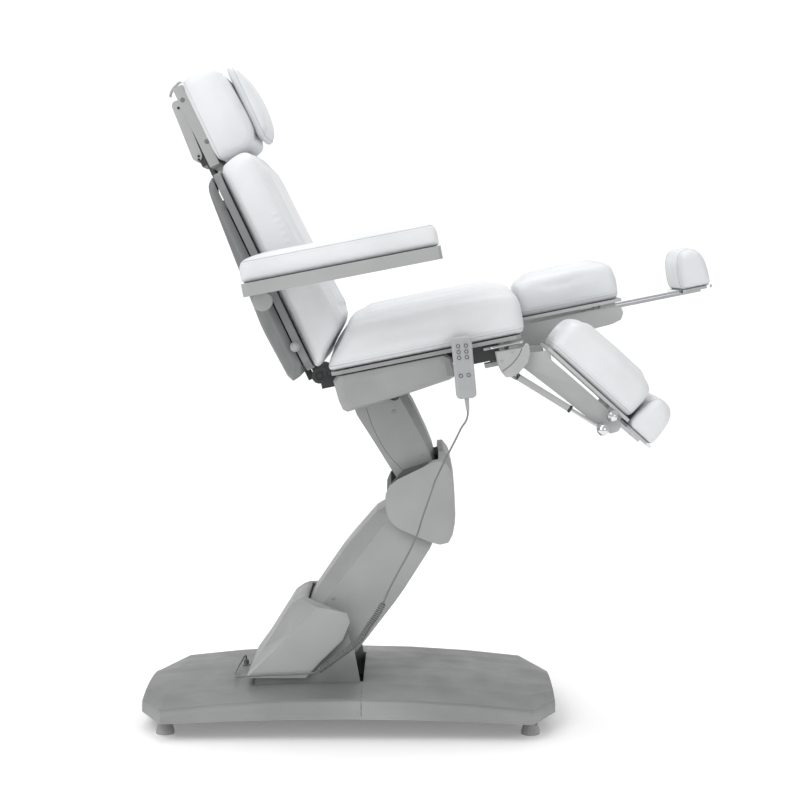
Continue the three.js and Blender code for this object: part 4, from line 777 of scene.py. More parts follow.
class Stitches(Recipe):
    """A row of thread stitches along a line."""

    name = "stitches_along_a_line"

    def _lay_out(self) -> None:
        """Lays a long bead at each step of the line."""
        spacing = self._length_input("Spacing")
        length = self._length_input("Length")
        thread = self._length_input("Thread Radius")
        line = self.nodes.add("GeometryNodeMeshToCurve")
        steps = self.nodes.add("GeometryNodeResampleCurve", mode="LENGTH")
        bead = self.nodes.add("GeometryNodeMeshUVSphere", Segments=6, Rings=4, Radius=1.0)
        size = self.nodes.add("ShaderNodeCombineXYZ")
        stretch = self.nodes.add("GeometryNodeTransform")
        along = self.nodes.add("GeometryNodeInputTangent")
        turn = self.nodes.add("FunctionNodeAlignRotationToVector", axis="X")
        copies = self.nodes.add("GeometryNodeInstanceOnPoints")
        self.nodes.join(self.given.outputs["Geometry"], line.inputs["Mesh"])
        self.nodes.join(line.outputs["Curve"], steps.inputs["Curve"])
        self.nodes.join(spacing, steps.inputs["Length"])
        self.nodes.join(length, size.inputs["X"])
        self.nodes.join(thread, size.inputs["Y"])
        self.nodes.join(thread, size.inputs["Z"])
        self.nodes.join(bead.outputs["Mesh"], stretch.inputs["Geometry"])
        self.nodes.join(size.outputs["Vector"], stretch.inputs["Scale"])
        self.nodes.join(along.outputs["Tangent"], turn.inputs["Vector"])
        self.nodes.join(steps.outputs["Curve"], copies.inputs["Points"])
        self.nodes.join(stretch.outputs["Geometry"], copies.inputs["Instance"])
        self.nodes.join(turn.outputs["Rotation"], copies.inputs["Rotation"])
        self._finish_with(copies.outputs["Instances"])


class ScrewHeads(Recipe):
    """Round heads with a hexagon socket, one at each point, facing the way its attribute says."""

    name = "screw_heads_on_points"

    def _lay_out(self) -> None:
        """Cuts the socket from the head and sets a copy on each point."""
        radius = self._length_input("Head Radius")
        depth = self._length_input("Head Depth")
        socket = self._length_input("Socket Radius")
        head = self.nodes.add("GeometryNodeMeshCylinder", Vertices=20)
        hole = self.nodes.add("GeometryNodeMeshCylinder", Vertices=6)
        lift = self.nodes.add("ShaderNodeCombineXYZ")
        raised = self.nodes.add("GeometryNodeTransform")
        cut = self.nodes.add("GeometryNodeMeshBoolean", operation="DIFFERENCE")
        facing = self.nodes.add("GeometryNodeInputNamedAttribute", data_type="FLOAT_VECTOR", Name="facing")
        turn = self.nodes.add("FunctionNodeAlignRotationToVector", axis="Z")
        copies = self.nodes.add("GeometryNodeInstanceOnPoints")
        self.nodes.join(radius, head.inputs["Radius"])
        self.nodes.join(depth, head.inputs["Depth"])
        self.nodes.join(socket, hole.inputs["Radius"])
        self.nodes.join(depth, hole.inputs["Depth"])
        half = self.nodes.add("ShaderNodeMath", operation="MULTIPLY")
        half.inputs[1].default_value = 0.55
        self.nodes.join(depth, half.inputs[0])
        self.nodes.join(half.outputs["Value"], lift.inputs["Z"])
        self.nodes.join(hole.outputs["Mesh"], raised.inputs["Geometry"])
        self.nodes.join(lift.outputs["Vector"], raised.inputs["Translation"])
        self.nodes.join(head.outputs["Mesh"], cut.inputs["Mesh 1"])
        self.nodes.join(raised.outputs["Geometry"], cut.inputs["Mesh 2"])
        self.nodes.join(facing.outputs["Attribute"], turn.inputs["Vector"])
        self.nodes.join(self.given.outputs["Geometry"], copies.inputs["Points"])
        self.nodes.join(cut.outputs["Mesh"], copies.inputs["Instance"])
        self.nodes.join(turn.outputs["Rotation"], copies.inputs["Rotation"])
        self._finish_with(copies.outputs["Instances"])


def line_mesh(name: str, line: list[Vector], closed: bool) -> bpy.types.Mesh:
    """Makes a mesh of edges along a line."""
    mesh = bpy.data.meshes.new(name)
    count = len(line)
    edges = [(i, (i + 1) % count) for i in range(count if closed else count - 1)]
    mesh.from_pydata([tuple(p) for p in line], edges, [])
    return mesh


def point_mesh(name: str, points: list[Vector], facing: list[Vector]) -> bpy.types.Mesh:
    """Makes a mesh of loose points that know which way they face."""
    mesh = bpy.data.meshes.new(name)
    mesh.from_pydata([tuple(p) for p in points], [], [])
    ways = mesh.attributes.new("facing", "FLOAT_VECTOR", "POINT")
    ways.data.foreach_set("vector", [value for way in facing for value in way])
    return mesh


class Face(Enum):
    """The way that a pad's lying face looks, in its own axes."""

    UP = 2
    FRONT = 0


class Sewing(Enum):
    """What a seam shows on the outside."""

    WELT = "welt"
    STITCH = "stitch"


@dataclass(frozen=True)
class Seam:
    """A seam where a plane of the pad's own axes cuts it: the axis, and how far along the pad it lies."""

    axis: int
    share: float
    sewing: Sewing = Sewing.WELT


@dataclass
class Pad:
    """One padded piece: foam under leatherette, made from the space that its CAD solid holds."""

    node: str
    body: str
    place: Place
    face: Face = Face.UP
    channel_inset: float = 0.0
    channel_depth: float = 6.5
    channel_width: float = 8.0
    voxel: float = 6.0
    slack: float = 1.6
    swell: float = 5.0
    sink: float = 0.5
    fill: float = 0.8
    seams: tuple[Seam, ...] = field(default_factory=tuple)
    frames: int = 20
    welt_radius: float = 0.9

    def build(self) -> bpy.types.Object:
        """Makes the pad and its seams.

        Returns:
            The pad's object.
        """
        piece = self._foam()
        self._stuff(piece)
        piece.modifiers.new("finer", "SUBSURF").levels = 1
        piece.modifiers["finer"].render_levels = 1
        settle(piece)
        self._seat_on_board(piece)
        self._sew_channels(piece)
        piece.data.materials.clear()
        piece.data.materials.append(LEATHERETTE.material())
        piece.data.polygons.foreach_set("use_smooth", [True] * len(piece.data.polygons))
        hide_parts(self.node)
        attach(piece, self.body)
        for count, seam in enumerate(self.seams):
            self._sew(piece, seam, f"{self.node}_seam_{count + 1}")
        LOG.info("pad: %s, %d faces", self.node, len(piece.data.polygons))
        return piece

    def _foam(self) -> bpy.types.Object:
        """Copies the CAD solid, a little smaller, and covers it with even faces.

        Returns:
            The pad's object, before it is stuffed.
        """
        made = bmesh.new()
        made.from_mesh(bpy.data.objects[self.node].data)
        bmesh.ops.remove_doubles(made, verts=made.verts, dist=1e-5)
        made.normal_update()
        ease = self.slack * MILLIMETRE
        for vertex in made.verts:
            vertex.co -= vertex.normal * ease
        piece = new_piece(self.node + "_upholstery", made, LEATHERETTE)
        remesh = piece.modifiers.new("even", "REMESH")
        remesh.mode = "VOXEL"
        remesh.voxel_size = self.voxel * MILLIMETRE
        ironed = piece.modifiers.new("ironed", "SMOOTH")
        ironed.factor = 0.5
        ironed.iterations = 3
        return settle(piece)

    def _own(self, piece: bpy.types.Object) -> list[Vector]:
        """Gives the pad's vertices in its own axes, in millimetres."""
        back = self.place.matrix().inverted()
        return [(back @ v.co) / MILLIMETRE for v in piece.data.vertices]

    def _stuff(self, piece: bpy.types.Object) -> None:
        """Fills the cover with pressure, with its board side held, and caps how far it may swell.

        Args:
            piece: The pad's object.
        """
        axis = self.face.value
        own = self._own(piece)
        foot = min(point[axis] for point in own)
        held = piece.vertex_groups.new(name="held")
        held.add([i for i, point in enumerate(own) if point[axis] < foot + 2 * self.voxel], 1.0, "REPLACE")
        rest = [v.co.copy() for v in piece.data.vertices]
        outwards = [v.normal.copy() for v in piece.data.vertices]
        cloth = piece.modifiers.new("stuffed", "CLOTH")
        settings = cloth.settings
        settings.use_pressure = True
        settings.uniform_pressure_force = 4.0
        settings.tension_stiffness = 20.0
        settings.bending_stiffness = 2.0
        settings.vertex_group_mass = held.name
        settings.effector_weights.gravity = 0.0
        cloth.point_cache.frame_start = 1
        cloth.point_cache.frame_end = self.frames
        scene = bpy.context.scene
        for frame in range(1, self.frames + 1):
            scene.frame_set(frame)
        settle(piece)
        scene.frame_set(1)
        piece.vertex_groups.clear()
        cap = self.swell * MILLIMETRE
        for vertex, before, facing in zip(piece.data.vertices, rest, outwards):
            moved = vertex.co - before
            sunk = moved.dot(facing) + self.sink * MILLIMETRE
            if sunk < 0:
                moved -= facing * sunk
            vertex.co = before + moved * min(1.0, cap / max(moved.length, 1e-6))
        ironed = piece.modifiers.new("ironed", "SMOOTH")
        ironed.factor = 0.5
        ironed.iterations = 3
        settle(piece)

    def _seat_on_board(self, piece: bpy.types.Object) -> None:
        """Lets the foot of the pad down onto the board that carries it.

        Args:
            piece: The pad's object.
        """
        axis = self.face.value
        own = self._own(piece)
        foot = min(point[axis] for point in own)
        board = min(point[axis] for point in self._own(bpy.data.objects[self.node]))
        down = self.place.aim(*[(-1.0 if k == axis else 0.0) for k in range(3)])
        reach = 3 * self.voxel
        for vertex, point in zip(piece.data.vertices, own):
            share = max(0.0, 1 - (point[axis] - foot) / reach)
            vertex.co += down * ((foot - board) * share * MILLIMETRE)

    def _sew_channels(self, piece: bpy.types.Object) -> None:
        """Pulls the lying face down along the two sewn channels.

        Args:
            piece: The pad's object.
        """
        if not self.channel_inset:
            return
        axis = self.face.value
        own = self._own(piece)
        top = max(point[axis] for point in own)
        foot = min(point[axis] for point in own)
        right, left = min(p.y for p in own), max(p.y for p in own)
        down = self.place.aim(*[(-1.0 if k == axis else 0.0) for k in range(3)])
        for vertex, point in zip(piece.data.vertices, own):
            inset = min(point.y - right, left - point.y)
            near = math.exp(-(((inset - self.channel_inset) / self.channel_width) ** 2))
            high = min(1.0, max(0.0, (point[axis] - foot) / (top - foot) * 2.2 - 0.9))
            vertex.co += down * (self.channel_depth * near * high * MILLIMETRE)

    def _sew(self, piece: bpy.types.Object, seam: Seam, name: str) -> None:
        """Lays a welt or a row of stitches where the seam's plane cuts the pad.

        Args:
            piece: The finished pad.
            seam: Which plane, and what shows.
            name: The seam's piece name.
        """
        own = self._own(piece)
        low = min(p[seam.axis] for p in own)
        high = max(p[seam.axis] for p in own)
        level = low + (high - low) * seam.share
        loop = self._cut(piece, seam.axis, level)
        if seam.sewing is Sewing.WELT:
            start = line_mesh(name, loop, True)
            made = Welt().make(name, start, THREAD, Radius=self.welt_radius * MILLIMETRE)
        else:
            start = line_mesh(name, loop, True)
            made = Stitches().make(
                name, start, THREAD,
                Spacing=5.0 * MILLIMETRE, Length=1.7 * MILLIMETRE, Thread_Radius=0.35 * MILLIMETRE,
            )
        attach(made, self.body)

    def _cut(self, piece: bpy.types.Object, axis: int, level: float) -> list[Vector]:
        """Finds the longest loop where a plane cuts the pad.

        Args:
            piece: The finished pad.
            axis: The pad's own axis that the plane is square to.
            level: Where the plane lies on it, in millimetres.

        Returns:
            The loop's points in the row frame.
        """
        made = bmesh.new()
        made.from_mesh(piece.data)
        matrix = self.place.matrix()
        normal = matrix.to_3x3() @ Vector([1.0 if k == axis else 0.0 for k in range(3)])
        spot = matrix @ (Vector([level if k == axis else 0.0 for k in range(3)]) * MILLIMETRE)
        faces = [*made.verts, *made.edges, *made.faces]
        cut = bmesh.ops.bisect_plane(made, geom=faces, plane_co=spot, plane_no=normal, dist=1e-7)["geom_cut"]
        # Ordered by place, so that a loop starts at the same point in every run
        found = [e for e in cut if isinstance(e, bmesh.types.BMEdge)]
        found.sort(key=lambda e: sorted(tuple(v.co) for v in e.verts))
        edges = dict.fromkeys(found)
        loops: list[list[Vector]] = []
        while edges:
            edge = next(iter(edges))
            del edges[edge]
            walk = sorted(edge.verts, key=lambda v: tuple(v.co))
            while walk[-1] is not walk[0]:
                onward = [e for e in walk[-1].link_edges if e in edges]
                if not onward:
                    break
                del edges[onward[0]]
                walk.append(onward[0].other_vert(walk[-1]))
            loops.append([v.co.copy() for v in walk[:-1]])
        made.free()
        longest = max(loops, key=len)
        for _ in range(3):
            count = len(longest)
            longest = [(longest[i - 1] + longest[i] * 2 + longest[(i + 1) % count]) / 4 for i in range(count)]
        return longest


def upholstery() -> list[Pad]:
    """Lists the chair's ten pads.

    Returns:
        The pads, each with its body, axes and seams.
    """
    pads = [
        Pad(
            "seat_cushion", "seat", SEAT, channel_inset=64, voxel=7.0, swell=6.0,
            seams=(Seam(2, 0.1), Seam(2, 0.15, Sewing.STITCH)),
        ),
        Pad(
            "back_cushion", "back", BACK, Face.FRONT, channel_inset=70, voxel=7.0, swell=6.0,
            seams=(Seam(0, 0.1), Seam(0, 0.15, Sewing.STITCH)),
        ),
        Pad("headrest_cushion", "headrest", BACK, Face.FRONT, voxel=5.0, seams=(Seam(0, 0.08),)),
        Pad(
            "headrest_pillow", "headrest", BACK, Face.FRONT,
            voxel=4.0, swell=4.0, fill=0.6, seams=(Seam(0, 0.4),),
        ),
    ]
    for name, side in SIDES.items():
        pads += [
            Pad(
                f"arm_rest_cushion_{name}", f"arm_rest_{name}", ARM_REST, voxel=4.5, slack=1.5, swell=2.5,
                seams=(Seam(2, 0.78, Sewing.WELT), Seam(2, 0.68, Sewing.STITCH)),
            ),
            Pad(
                f"calf_cushion_{name}", f"leg_{name}", LEG[side], channel_inset=46, voxel=5.0,
                seams=(Seam(2, 0.12), Seam(2, 0.17, Sewing.STITCH)),
            ),
            Pad(
                f"foot_cushion_{name}", f"foot_slide_{name}", FOOT_SLIDE[side], voxel=4.5, swell=4.0,
                seams=(Seam(1, 0.12), Seam(1, 0.88)),
            ),
        ]
    return pads


class CapPlugs(Recipe):
    """Low domed plugs, one at each point, that close screw holes in a moulding."""

    name = "cap_plugs_on_points"

    def _lay_out(self) -> None:
        """Flattens a ball into a plug and sets a copy on each point."""
        radius = self._length_input("Plug Radius")
        bulge = self._length_input("Plug Bulge")
        ball = self.nodes.add("GeometryNodeMeshUVSphere", Segments=24, Rings=12, Radius=1.0)
        size = self.nodes.add("ShaderNodeCombineXYZ")
        flat = self.nodes.add("GeometryNodeTransform")
        facing = self.nodes.add("GeometryNodeInputNamedAttribute", data_type="FLOAT_VECTOR", Name="facing")
        turn = self.nodes.add("FunctionNodeAlignRotationToVector", axis="Z")
        copies = self.nodes.add("GeometryNodeInstanceOnPoints")
        self.nodes.join(radius, size.inputs["X"])
        self.nodes.join(radius, size.inputs["Y"])
        self.nodes.join(bulge, size.inputs["Z"])
        self.nodes.join(ball.outputs["Mesh"], flat.inputs["Geometry"])
        self.nodes.join(size.outputs["Vector"], flat.inputs["Scale"])
        self.nodes.join(facing.outputs["Attribute"], turn.inputs["Vector"])
        self.nodes.join(self.given.outputs["Geometry"], copies.inputs["Points"])
        self.nodes.join(flat.outputs["Geometry"], copies.inputs["Instance"])
        self.nodes.join(turn.outputs["Rotation"], copies.inputs["Rotation"])
        self._finish_with(copies.outputs["Instances"])


class Skin:
    """The outside of one CAD node, for laying small things on it."""

    def __init__(self, node: str) -> None:
        """Reads the node's faces."""
        made = bmesh.new()
        made.from_mesh(bpy.data.objects[node].data)
        self.tree = BVHTree.FromBMesh(made)
        made.free()

    def touch(self, x: float, z: float, side: int) -> tuple[Vector, Vector]:
        """Finds where a line from the chair's side first meets the node.

        Args:
            x: Millimetres forward of the base's middle.
            z: Millimetres above the floor.
            side: -1 for the sitter's right, 1 for the left.

        Returns:
            The point and the way that the face looks there.
        """
        start = GROUND.at(x, side * 600.0, z)
        spot, facing, _, _ = self.tree.ray_cast(start, Vector((0, -side, 0)))
        if spot is None:
            raise ValueError(f"nothing is met at {x:.0f}, {z:.0f}")
        return spot, facing


@dataclass(frozen=True)
class Dots:
    """Plugs or screw heads on a node's sides, each given forward of the base's middle and above the floor."""

    name: str
    node: str
    body: str
    places: tuple[Pair, ...]
    radius: float
    height: float
    finish: Finish
    sides: tuple[int, ...] = (-1, 1)
    socket: float = 0.0

    def build(self) -> None:
        """Lays the dots on the node as one piece."""
        skin = Skin(self.node)
        met = [skin.touch(x, z, side) for side in self.sides for x, z in self.places]
        start = point_mesh(self.name, [spot for spot, _ in met], [facing for _, facing in met])
        if self.socket:
            piece = ScrewHeads().make(
                self.name, start, self.finish, Head_Radius=self.radius * MILLIMETRE,
                Head_Depth=2 * self.height * MILLIMETRE, Socket_Radius=self.socket * MILLIMETRE,
            )
            piece.data.polygons.foreach_set("use_smooth", [False] * len(piece.data.polygons))
        else:
            piece = CapPlugs().make(
                self.name, start, self.finish,
                Plug_Radius=self.radius * MILLIMETRE, Plug_Bulge=self.height * MILLIMETRE,
            )
        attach(piece, self.body)
        LOG.info("dots: %s, %d", self.name, len(met))


@dataclass(frozen=True)
class PartingLine:
    """A dark line laid on the node's side: painted shade in the gap where two mouldings of one cover meet."""

    name: str
    node: str
    body: str
    route: tuple[Pair, ...]
    radius: float = 0.55
    sides: tuple[int, ...] = (-1, 1)

    def build(self) -> None:
        """Lays the line on each side of the node."""
        skin = Skin(self.node)
        for side in self.sides:
            bend = smooth_line([GROUND.at(x, 0, z) for x, z in self.route], 0.004)
            line = [
                skin.touch((p.x - BASE_MIDDLE_X) / MILLIMETRE, p.z / MILLIMETRE, side)[0] for p in bend
            ]
            name = f"{self.name}_{side_name(side)}"
            piece = Welt().make(name, line_mesh(name, line, False), GAP_SHADE, Radius=self.radius * MILLIMETRE)
            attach(piece, self.body)


def end_centres(node: str, along: Vector) -> tuple[Vector, Vector]:
    """Finds the middles of the two ends of a rod or tube.

    Args:
        node: The CAD node.
        along: About which way it runs.

    Returns:
        The middle of its first end and of its last, along that way.
    """
    points = [v.co.copy() for v in bpy.data.objects[node].data.vertices]
    reach = [p.dot(along) for p in points]
    ends = []
    for limit, sign in ((min(reach), 1), (max(reach), -1)):
        near = [p for p, r in zip(points, reach) if sign * (r - limit) < 4 * MILLIMETRE]
        low = Vector([min(p[k] for p in near) for k in range(3)])
        high = Vector([max(p[k] for p in near) for k in range(3)])
        ends.append((low + high) / 2)
    return ends[0], ends[1]


@dataclass
class SpringTrim:
    """The black end fittings of a gas spring's tube and rod, and the chrome ball on its foot."""

    side: int
    tube_radius: float = 7.3
    ferrule_length: float = 15.0
    ball_radius: float = 12.4
    foot: Pair = (239.0, 7.0)
    cap_share: float = 0.45
    ball_stand: float = 0.55
    slopes: Pair = (-0.64, 0.45)

    def build(self) -> None:
        """Makes the collars and the ball of one leg."""
        side = side_name(self.side)
        leg = LEG[self.side]
        tube = f"gas_spring_tube_{side}"
        low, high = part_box(tube)
        downhill = Vector((1, 0, self.slopes[0 if self.side < 0 else 1]))
        first, last = end_centres(tube, downhill.normalized())
        way = (last - first).normalized()
        step = self.ferrule_length * MILLIMETRE
        collar = [1.0, 1.12, 1.12, 1.0, 0.9]
        shares = [0.0, 0.08, 0.55, 0.8, 1.0]
        line = [first + way * step * s for s in shares]
        radii = [self.tube_radius * c * MILLIMETRE for c in collar]
        upper = new_piece(f"gas_spring_tube_collar_{side}", sweep(line, radii, 20), BLACK_PLASTIC)
        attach(upper, tube)
        line = [last - way * step * self.cap_share * s for s in shares]
        lower = new_piece(f"gas_spring_tube_cap_{side}", sweep(line, radii, 20), BLACK_PLASTIC)
        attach(lower, tube)
        skin = Skin(f"leg_frame_{side}")
        spot = leg.at(self.foot[0], 0, self.foot[1])
        face, facing = skin.touch((spot.x - BASE_MIDDLE_X) / MILLIMETRE, spot.z / MILLIMETRE, self.side)
        radius = self.ball_radius * MILLIMETRE
        turns = [math.pi * i / 14 for i in range(15)]
        middle = face + facing * radius * self.ball_stand
        line = [middle - facing * radius * math.cos(t) for t in turns]
        radii = [max(0.0004, radius * math.sin(t)) for t in turns]
        ball = new_piece(f"gas_spring_foot_ball_{side}", sweep(line, radii, 28), CHROME)
        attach(ball, f"leg_{side}")
        LOG.info("gas spring trim: %s, tube %.0f mm", side, (high - low).length / MILLIMETRE)


@dataclass
class KeyFaces:
    """The ring and the arrow that are printed on one key of the handset."""

    node: str
    up: bool
    ring_share: float = 0.66
    ink: float = 0.12
    depth: float = 0.4
    ring_sides: int = 32

    def build(self) -> None:
        """Makes the ring and the arrow on the key's face."""
        low, high = (Vector(corner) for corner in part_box(self.node))
        middle = (low + high) / 2
        radius = (high.x - low.x) / 2
        face = low.y - self.ink * MILLIMETRE
        made = bmesh.new()
        self._ring(made, middle, radius, face)
        sign = 1.0 if self.up else -1.0
        corners = [(-0.42, -0.22), (0.0, 0.34), (0.42, -0.22), (0.2, -0.22), (0.0, 0.06), (-0.2, -0.22)]
        points = [(middle.x + x * radius, middle.z + sign * z * radius) for x, z in corners]
        front = [made.verts.new((x, face, z)) for x, z in points]
        back = [made.verts.new((x, low.y + 0.2 * MILLIMETRE, z)) for x, z in points]
        made.faces.new(front)
        made.faces.new(list(reversed(back)))
        for i in range(len(points)):
            j = (i + 1) % len(points)
            made.faces.new((front[j], front[i], back[i], back[j]))
        bmesh.ops.recalc_face_normals(made, faces=made.faces)
        piece = new_piece(f"{self.node}_arrow", made, SYMBOL, smooth=False)
        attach(piece, self.node)

    def _ring(self, made: bmesh.types.BMesh, middle: Vector, radius: float, face: float) -> None:
        """Adds the ring round the arrow.

        Args:
            made: The mesh that takes it.
            middle: The key's middle.
            radius: The key's radius.
            face: How far across the chair the ink's face lies.
        """
        inner, back = radius * self.ring_share, face + self.depth * MILLIMETRE
        reaches = ((inner, face), (radius, face), (radius, back), (inner, back))
        count = self.ring_sides
        turns = [2 * math.pi * i / count for i in range(count)]
        rings = [
            [made.verts.new((middle.x + r * math.cos(t), y, middle.z + r * math.sin(t))) for t in turns]
            for r, y in reaches
        ]
        for a, b in zip(rings, rings[1:] + rings[:1]):
            for i in range(count):
                j = (i + 1) % count
                made.faces.new((a[i], a[j], b[j], b[i]))


@dataclass
class HeadrestStrap:
    """The strap that holds the head pillow: it goes over the headrest's end and its tail hangs behind."""

    half_width: float = 16.0
    thickness: float = 1.6
    clear: float = 1.8
    stitch_margin: float = 4.0
    across_points: int = 9
    cast_height: float = 800.0
    tail: tuple[Pair, ...] = ((-5, 713), (-16, 710.5), (-27, 706), (-34, 700), (-40, 693))

    def build(self) -> None:
        """Lays the strap on the padded headrest."""
        pad = bpy.data.objects["headrest_cushion_upholstery"]
        made = bmesh.new()
        made.from_mesh(pad.data)
        tree = BVHTree.FromBMesh(made)
        made.free()
        down = BACK.aim(0, 0, -1)
        ridge: list[Vector] = []
        for x in range(84, 2, -8):
            spot, facing, _, _ = tree.ray_cast(BACK.at(x, 0, self.cast_height), down)
            if spot is not None:
                ridge.append(spot + facing * (self.clear * MILLIMETRE))
        line = smooth_line([*ridge, *(BACK.at(x, 0, z) for x, z in self.tail)], 0.005)
        count = self.across_points
        made = bmesh.new()
        rows = []
        for point in line:
            across = [self.half_width * (2 * i / (count - 1) - 1) for i in range(count)]
            rows.append([made.verts.new(point + Vector((0, y * MILLIMETRE, 0))) for y in across])
        skin_rows(made, rows)
        made.normal_update()
        piece = new_piece("headrest_pillow_strap", made, LEATHERETTE)
        thicken(piece, self.thickness)
        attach(piece, "headrest")
        inset = (self.half_width - self.stitch_margin) * MILLIMETRE
        for label, side in SIDES.items():
            edge = [p + Vector((0, side * inset, 0)) + lift for p, lift in zip(line, self._lifts(line))]
            name = f"headrest_strap_stitches_{label}"
            made_row = Stitches().make(
                name, line_mesh(name, edge, False), THREAD,
                Spacing=4.5 * MILLIMETRE, Length=1.5 * MILLIMETRE, Thread_Radius=0.3 * MILLIMETRE,
            )
            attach(made_row, "headrest")

    def _lifts(self, line: list[Vector]) -> list[Vector]:
        """Gives each point's step out to the strap's outer face."""
        lifts = []
        for i in range(len(line)):
            way = (line[min(i + 1, len(line) - 1)] - line[max(i - 1, 0)]).normalized()
            lifts.append(Vector((0, 1, 0)).cross(way).normalized() * (self.thickness / 2 * MILLIMETRE))
        middle = BACK.at(50, 0, 600)
        return [lift if (point + lift - middle).length > (point - lift - middle).length else -lift
                for point, lift in zip(line, lifts)]


@dataclass
class LegRail:
    """The bright slide strip under the seat board at one leg hinge."""

    side: int
    start: Pair = (-52.0, 22.6)
    end: Pair = (22.0, 22.6)
    radius: float = 2.2
    stand: float = 1.0
    steps: int = 8

    def build(self) -> None:
        """Makes the strip on the bracket's outer side."""
        side = side_name(self.side)
        skin = Skin(f"leg_bracket_{side}")
        line = []
        for i in range(self.steps + 1):
            share = i / self.steps
            x = self.start[0] + (self.end[0] - self.start[0]) * share
            z = self.start[1] + (self.end[1] - self.start[1]) * share
            spot = BRACKET.at(x, 0, z)
            face, _ = skin.touch((spot.x - BASE_MIDDLE_X) / MILLIMETRE, spot.z / MILLIMETRE, self.side)
            line.append(Vector((spot.x, face.y + self.side * self.stand * MILLIMETRE, spot.z)))
        outer = self.side * max(self.side * p.y for p in line)
        line = [Vector((p.x, outer, p.z)) for p in line]
        piece = new_piece(f"leg_rail_{side}", sweep(line, [self.radius * MILLIMETRE] * len(line), 14), CHROME)
        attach(piece, f"leg_bracket_{side}")


@dataclass
class BackKnob:
    """The rounded catch that stands out of the back shell's side, near its foot."""

    side: int
    place: Pair = (-105.6, 837.3)
    radius: float = 8.0
    reach: float = 17.0

    def build(self) -> None:
        """Makes the catch."""
        skin = Skin("back_shell")
        face, facing = skin.touch(*self.place, self.side)
        profile = [(-0.2, 1.35), (0.05, 1.3), (0.12, 1.0), (0.7, 0.95), (0.88, 0.8), (0.97, 0.5), (1.0, 0.05)]
        line = [face + facing * (share * self.reach * MILLIMETRE) for share, _ in profile]
        radii = [self.radius * width * MILLIMETRE for _, width in profile]
        name = f"back_catch_{side_name(self.side)}"
        piece = new_piece(name, sweep(line, radii, 24), GREY_METAL)
        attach(piece, "back")


@dataclass
class WellShadeSkirt:
    """A dark skirt round the arm's well inside the base: painted shade, a dark sheet that hides the lit floor
    under the well.
    """

    rear_x: float = -147.0
    front_x: float = 37.0
    half: float = 149.0
    foot: float = 46.0
    top: float = 93.0
    wall: float = 1.5
    corner: float = 10.0
    corner_steps: int = 6

    def build(self) -> None:
        """Makes the skirt from its line in plan."""
        line = [(self.rear_x, -self.half), (self.front_x - self.corner, -self.half)]
        for i in range(1, self.corner_steps):
            turn = math.pi / 2 * i / self.corner_steps
            line.append((
                self.front_x - self.corner * (1 - math.sin(turn)),
                -self.half + self.corner * (1 - math.cos(turn)),
            ))
        line.append((self.front_x, -self.half + self.corner))
        line += [(x, -y) for x, y in reversed(line)]
        made = bmesh.new()
        rows = [[made.verts.new(GROUND.at(x, y, z)) for x, y in line] for z in (self.foot, self.top)]
        skin_rows(made, rows)
        made.normal_update()
        # The dark back-shell finish here is painted shade inside the well
        piece = new_piece("well_shade_skirt", made, BACK_SHELL, smooth=False)
        thicken(piece, self.wall)
        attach(piece, "base")


class Fitting(Protocol):
    """Any small fitting that builds its own pieces."""

    def build(self) -> None:
        """Makes the fitting's pieces."""


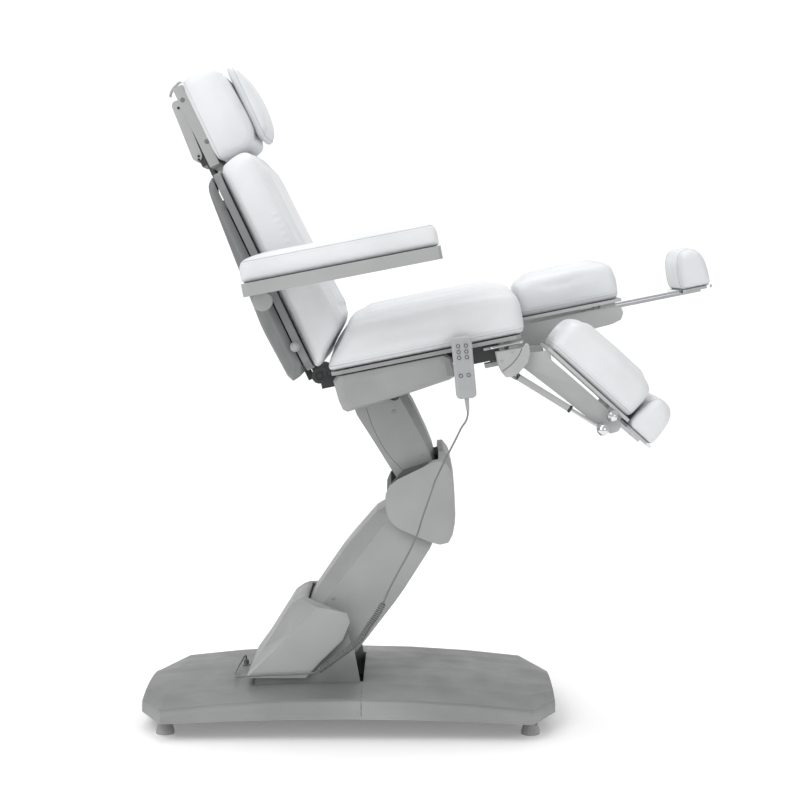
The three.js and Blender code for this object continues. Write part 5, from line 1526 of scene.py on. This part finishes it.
def small_fittings() -> list[Fitting]:
    """Lists the small visible fittings, each on the piece that carries it.

    Returns:
        The fittings, ready to build.
    """
    fittings: list[Fitting] = [
        Dots("upper_arm_cap_plugs", "upper_arm_cover", "upper_arm", ((99.0, 687.2),), 6.0, 1.1, COVER),
        Dots("upper_arm_small_plugs", "upper_arm_cover", "upper_arm", ((160.2, 592.9),), 3.2, 0.9, COVER),
        Dots("lower_arm_cap_plugs", "lower_arm_cover", "lower_arm", ((-33.8, 278.3),), 5.0, 1.3, COVER),
        Dots("base_cap_plugs", "base_cover_rear", "base", ((20.2, 62.1),), 5.2, 1.3, COVER),
        Dots(
            "headrest_link_screws", "headrest_link", "headrest_link",
            ((-370.3, 1347.6), (-327.0, 1243.5), (-327.0, 1236.0)), 3.0, 0.8, DARK_STEEL, socket=1.4,
        ),
        Dots(
            "headrest_plate_slots", "headrest_plate", "headrest",
            ((-353.8, 1359.6), (-302.4, 1271.4)), 5.5, 0.7, BACK_SHELL,
        ),
        PartingLine(
            "upper_arm_parting_line", "upper_arm_cover", "upper_arm",
            ((37.9, 698.2), (51.0, 658.7), (79.3, 603.9), (106.0, 572.0), (126.0, 552.0)),
        ),
        Dots("back_shell_bosses", "back_shell", "back", ((-251.7, 1131.0),), 9.0, 2.2, BACK_SHELL),
        PartingLine(
            "base_parting_line", "base_cover_front", "base", ((31.2, 57.0), (31.2, 75.0), (31.2, 93.0)), 0.6
        ),
        HeadrestStrap(),
        WellShadeSkirt(),
    ]
    for name, side in SIDES.items():
        fittings += [
            Dots(
                f"leg_bracket_screws_{name}", f"leg_bracket_{name}", f"leg_bracket_{name}",
                ((347.1, 826.6), (325.2, 808.7)), 5.4, 0.9, GREY_METAL, (side,), socket=2.2,
            ),
            # Painted shade: a dark line laid along the bracket's groove
            PartingLine(
                f"leg_bracket_groove_{name}", f"leg_bracket_{name}", f"leg_bracket_{name}",
                ((327.3, 787.8), (345.0, 801.5), (360.4, 821.2), (366.0, 834.0)), 0.8, (side,),
            ),
            SpringTrim(side),
            LegRail(side),
            BackKnob(side),
        ]
    for row in (1, 2, 3, 4):
        fittings += [KeyFaces(f"key_{row}_rear", True), KeyFaces(f"key_{row}_front", False)]
    return fittings


def dress_frame(record: dict) -> None:
    """Gives every CAD node its finish.

    Args:
        record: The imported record, whose subparts name each node's slot.
    """
    for part in record["subparts"]:
        node = bpy.data.objects[part["node"]]
        finish = FINISH_BY_SLOT[part["material_slot"]]
        for slot in node.material_slots:
            slot.material = finish.material()
    LOG.info("finishes: %d nodes", len(record["subparts"]))


FINISH_BY_SLOT = {
    finish.slot: finish
    for finish in (
        LEATHERETTE, COVER, BASE_COVER, BACK_SHELL, GREY_METAL, DARK_STEEL, CHROME,
        RUBBER, HANDSET, KEY, CORD,
    )
}


def main() -> None:
    """Builds the chair's looks in order."""
    logging.basicConfig(level=logging.INFO, format="%(message)s")
    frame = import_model()
    Studio().build()
    HandsetCord().build()
    for pad in upholstery():
        pad.build()
    for fitting in small_fittings():
        fitting.build()
    dress_frame(frame["record"])


if __name__ == "__main__":
    main()
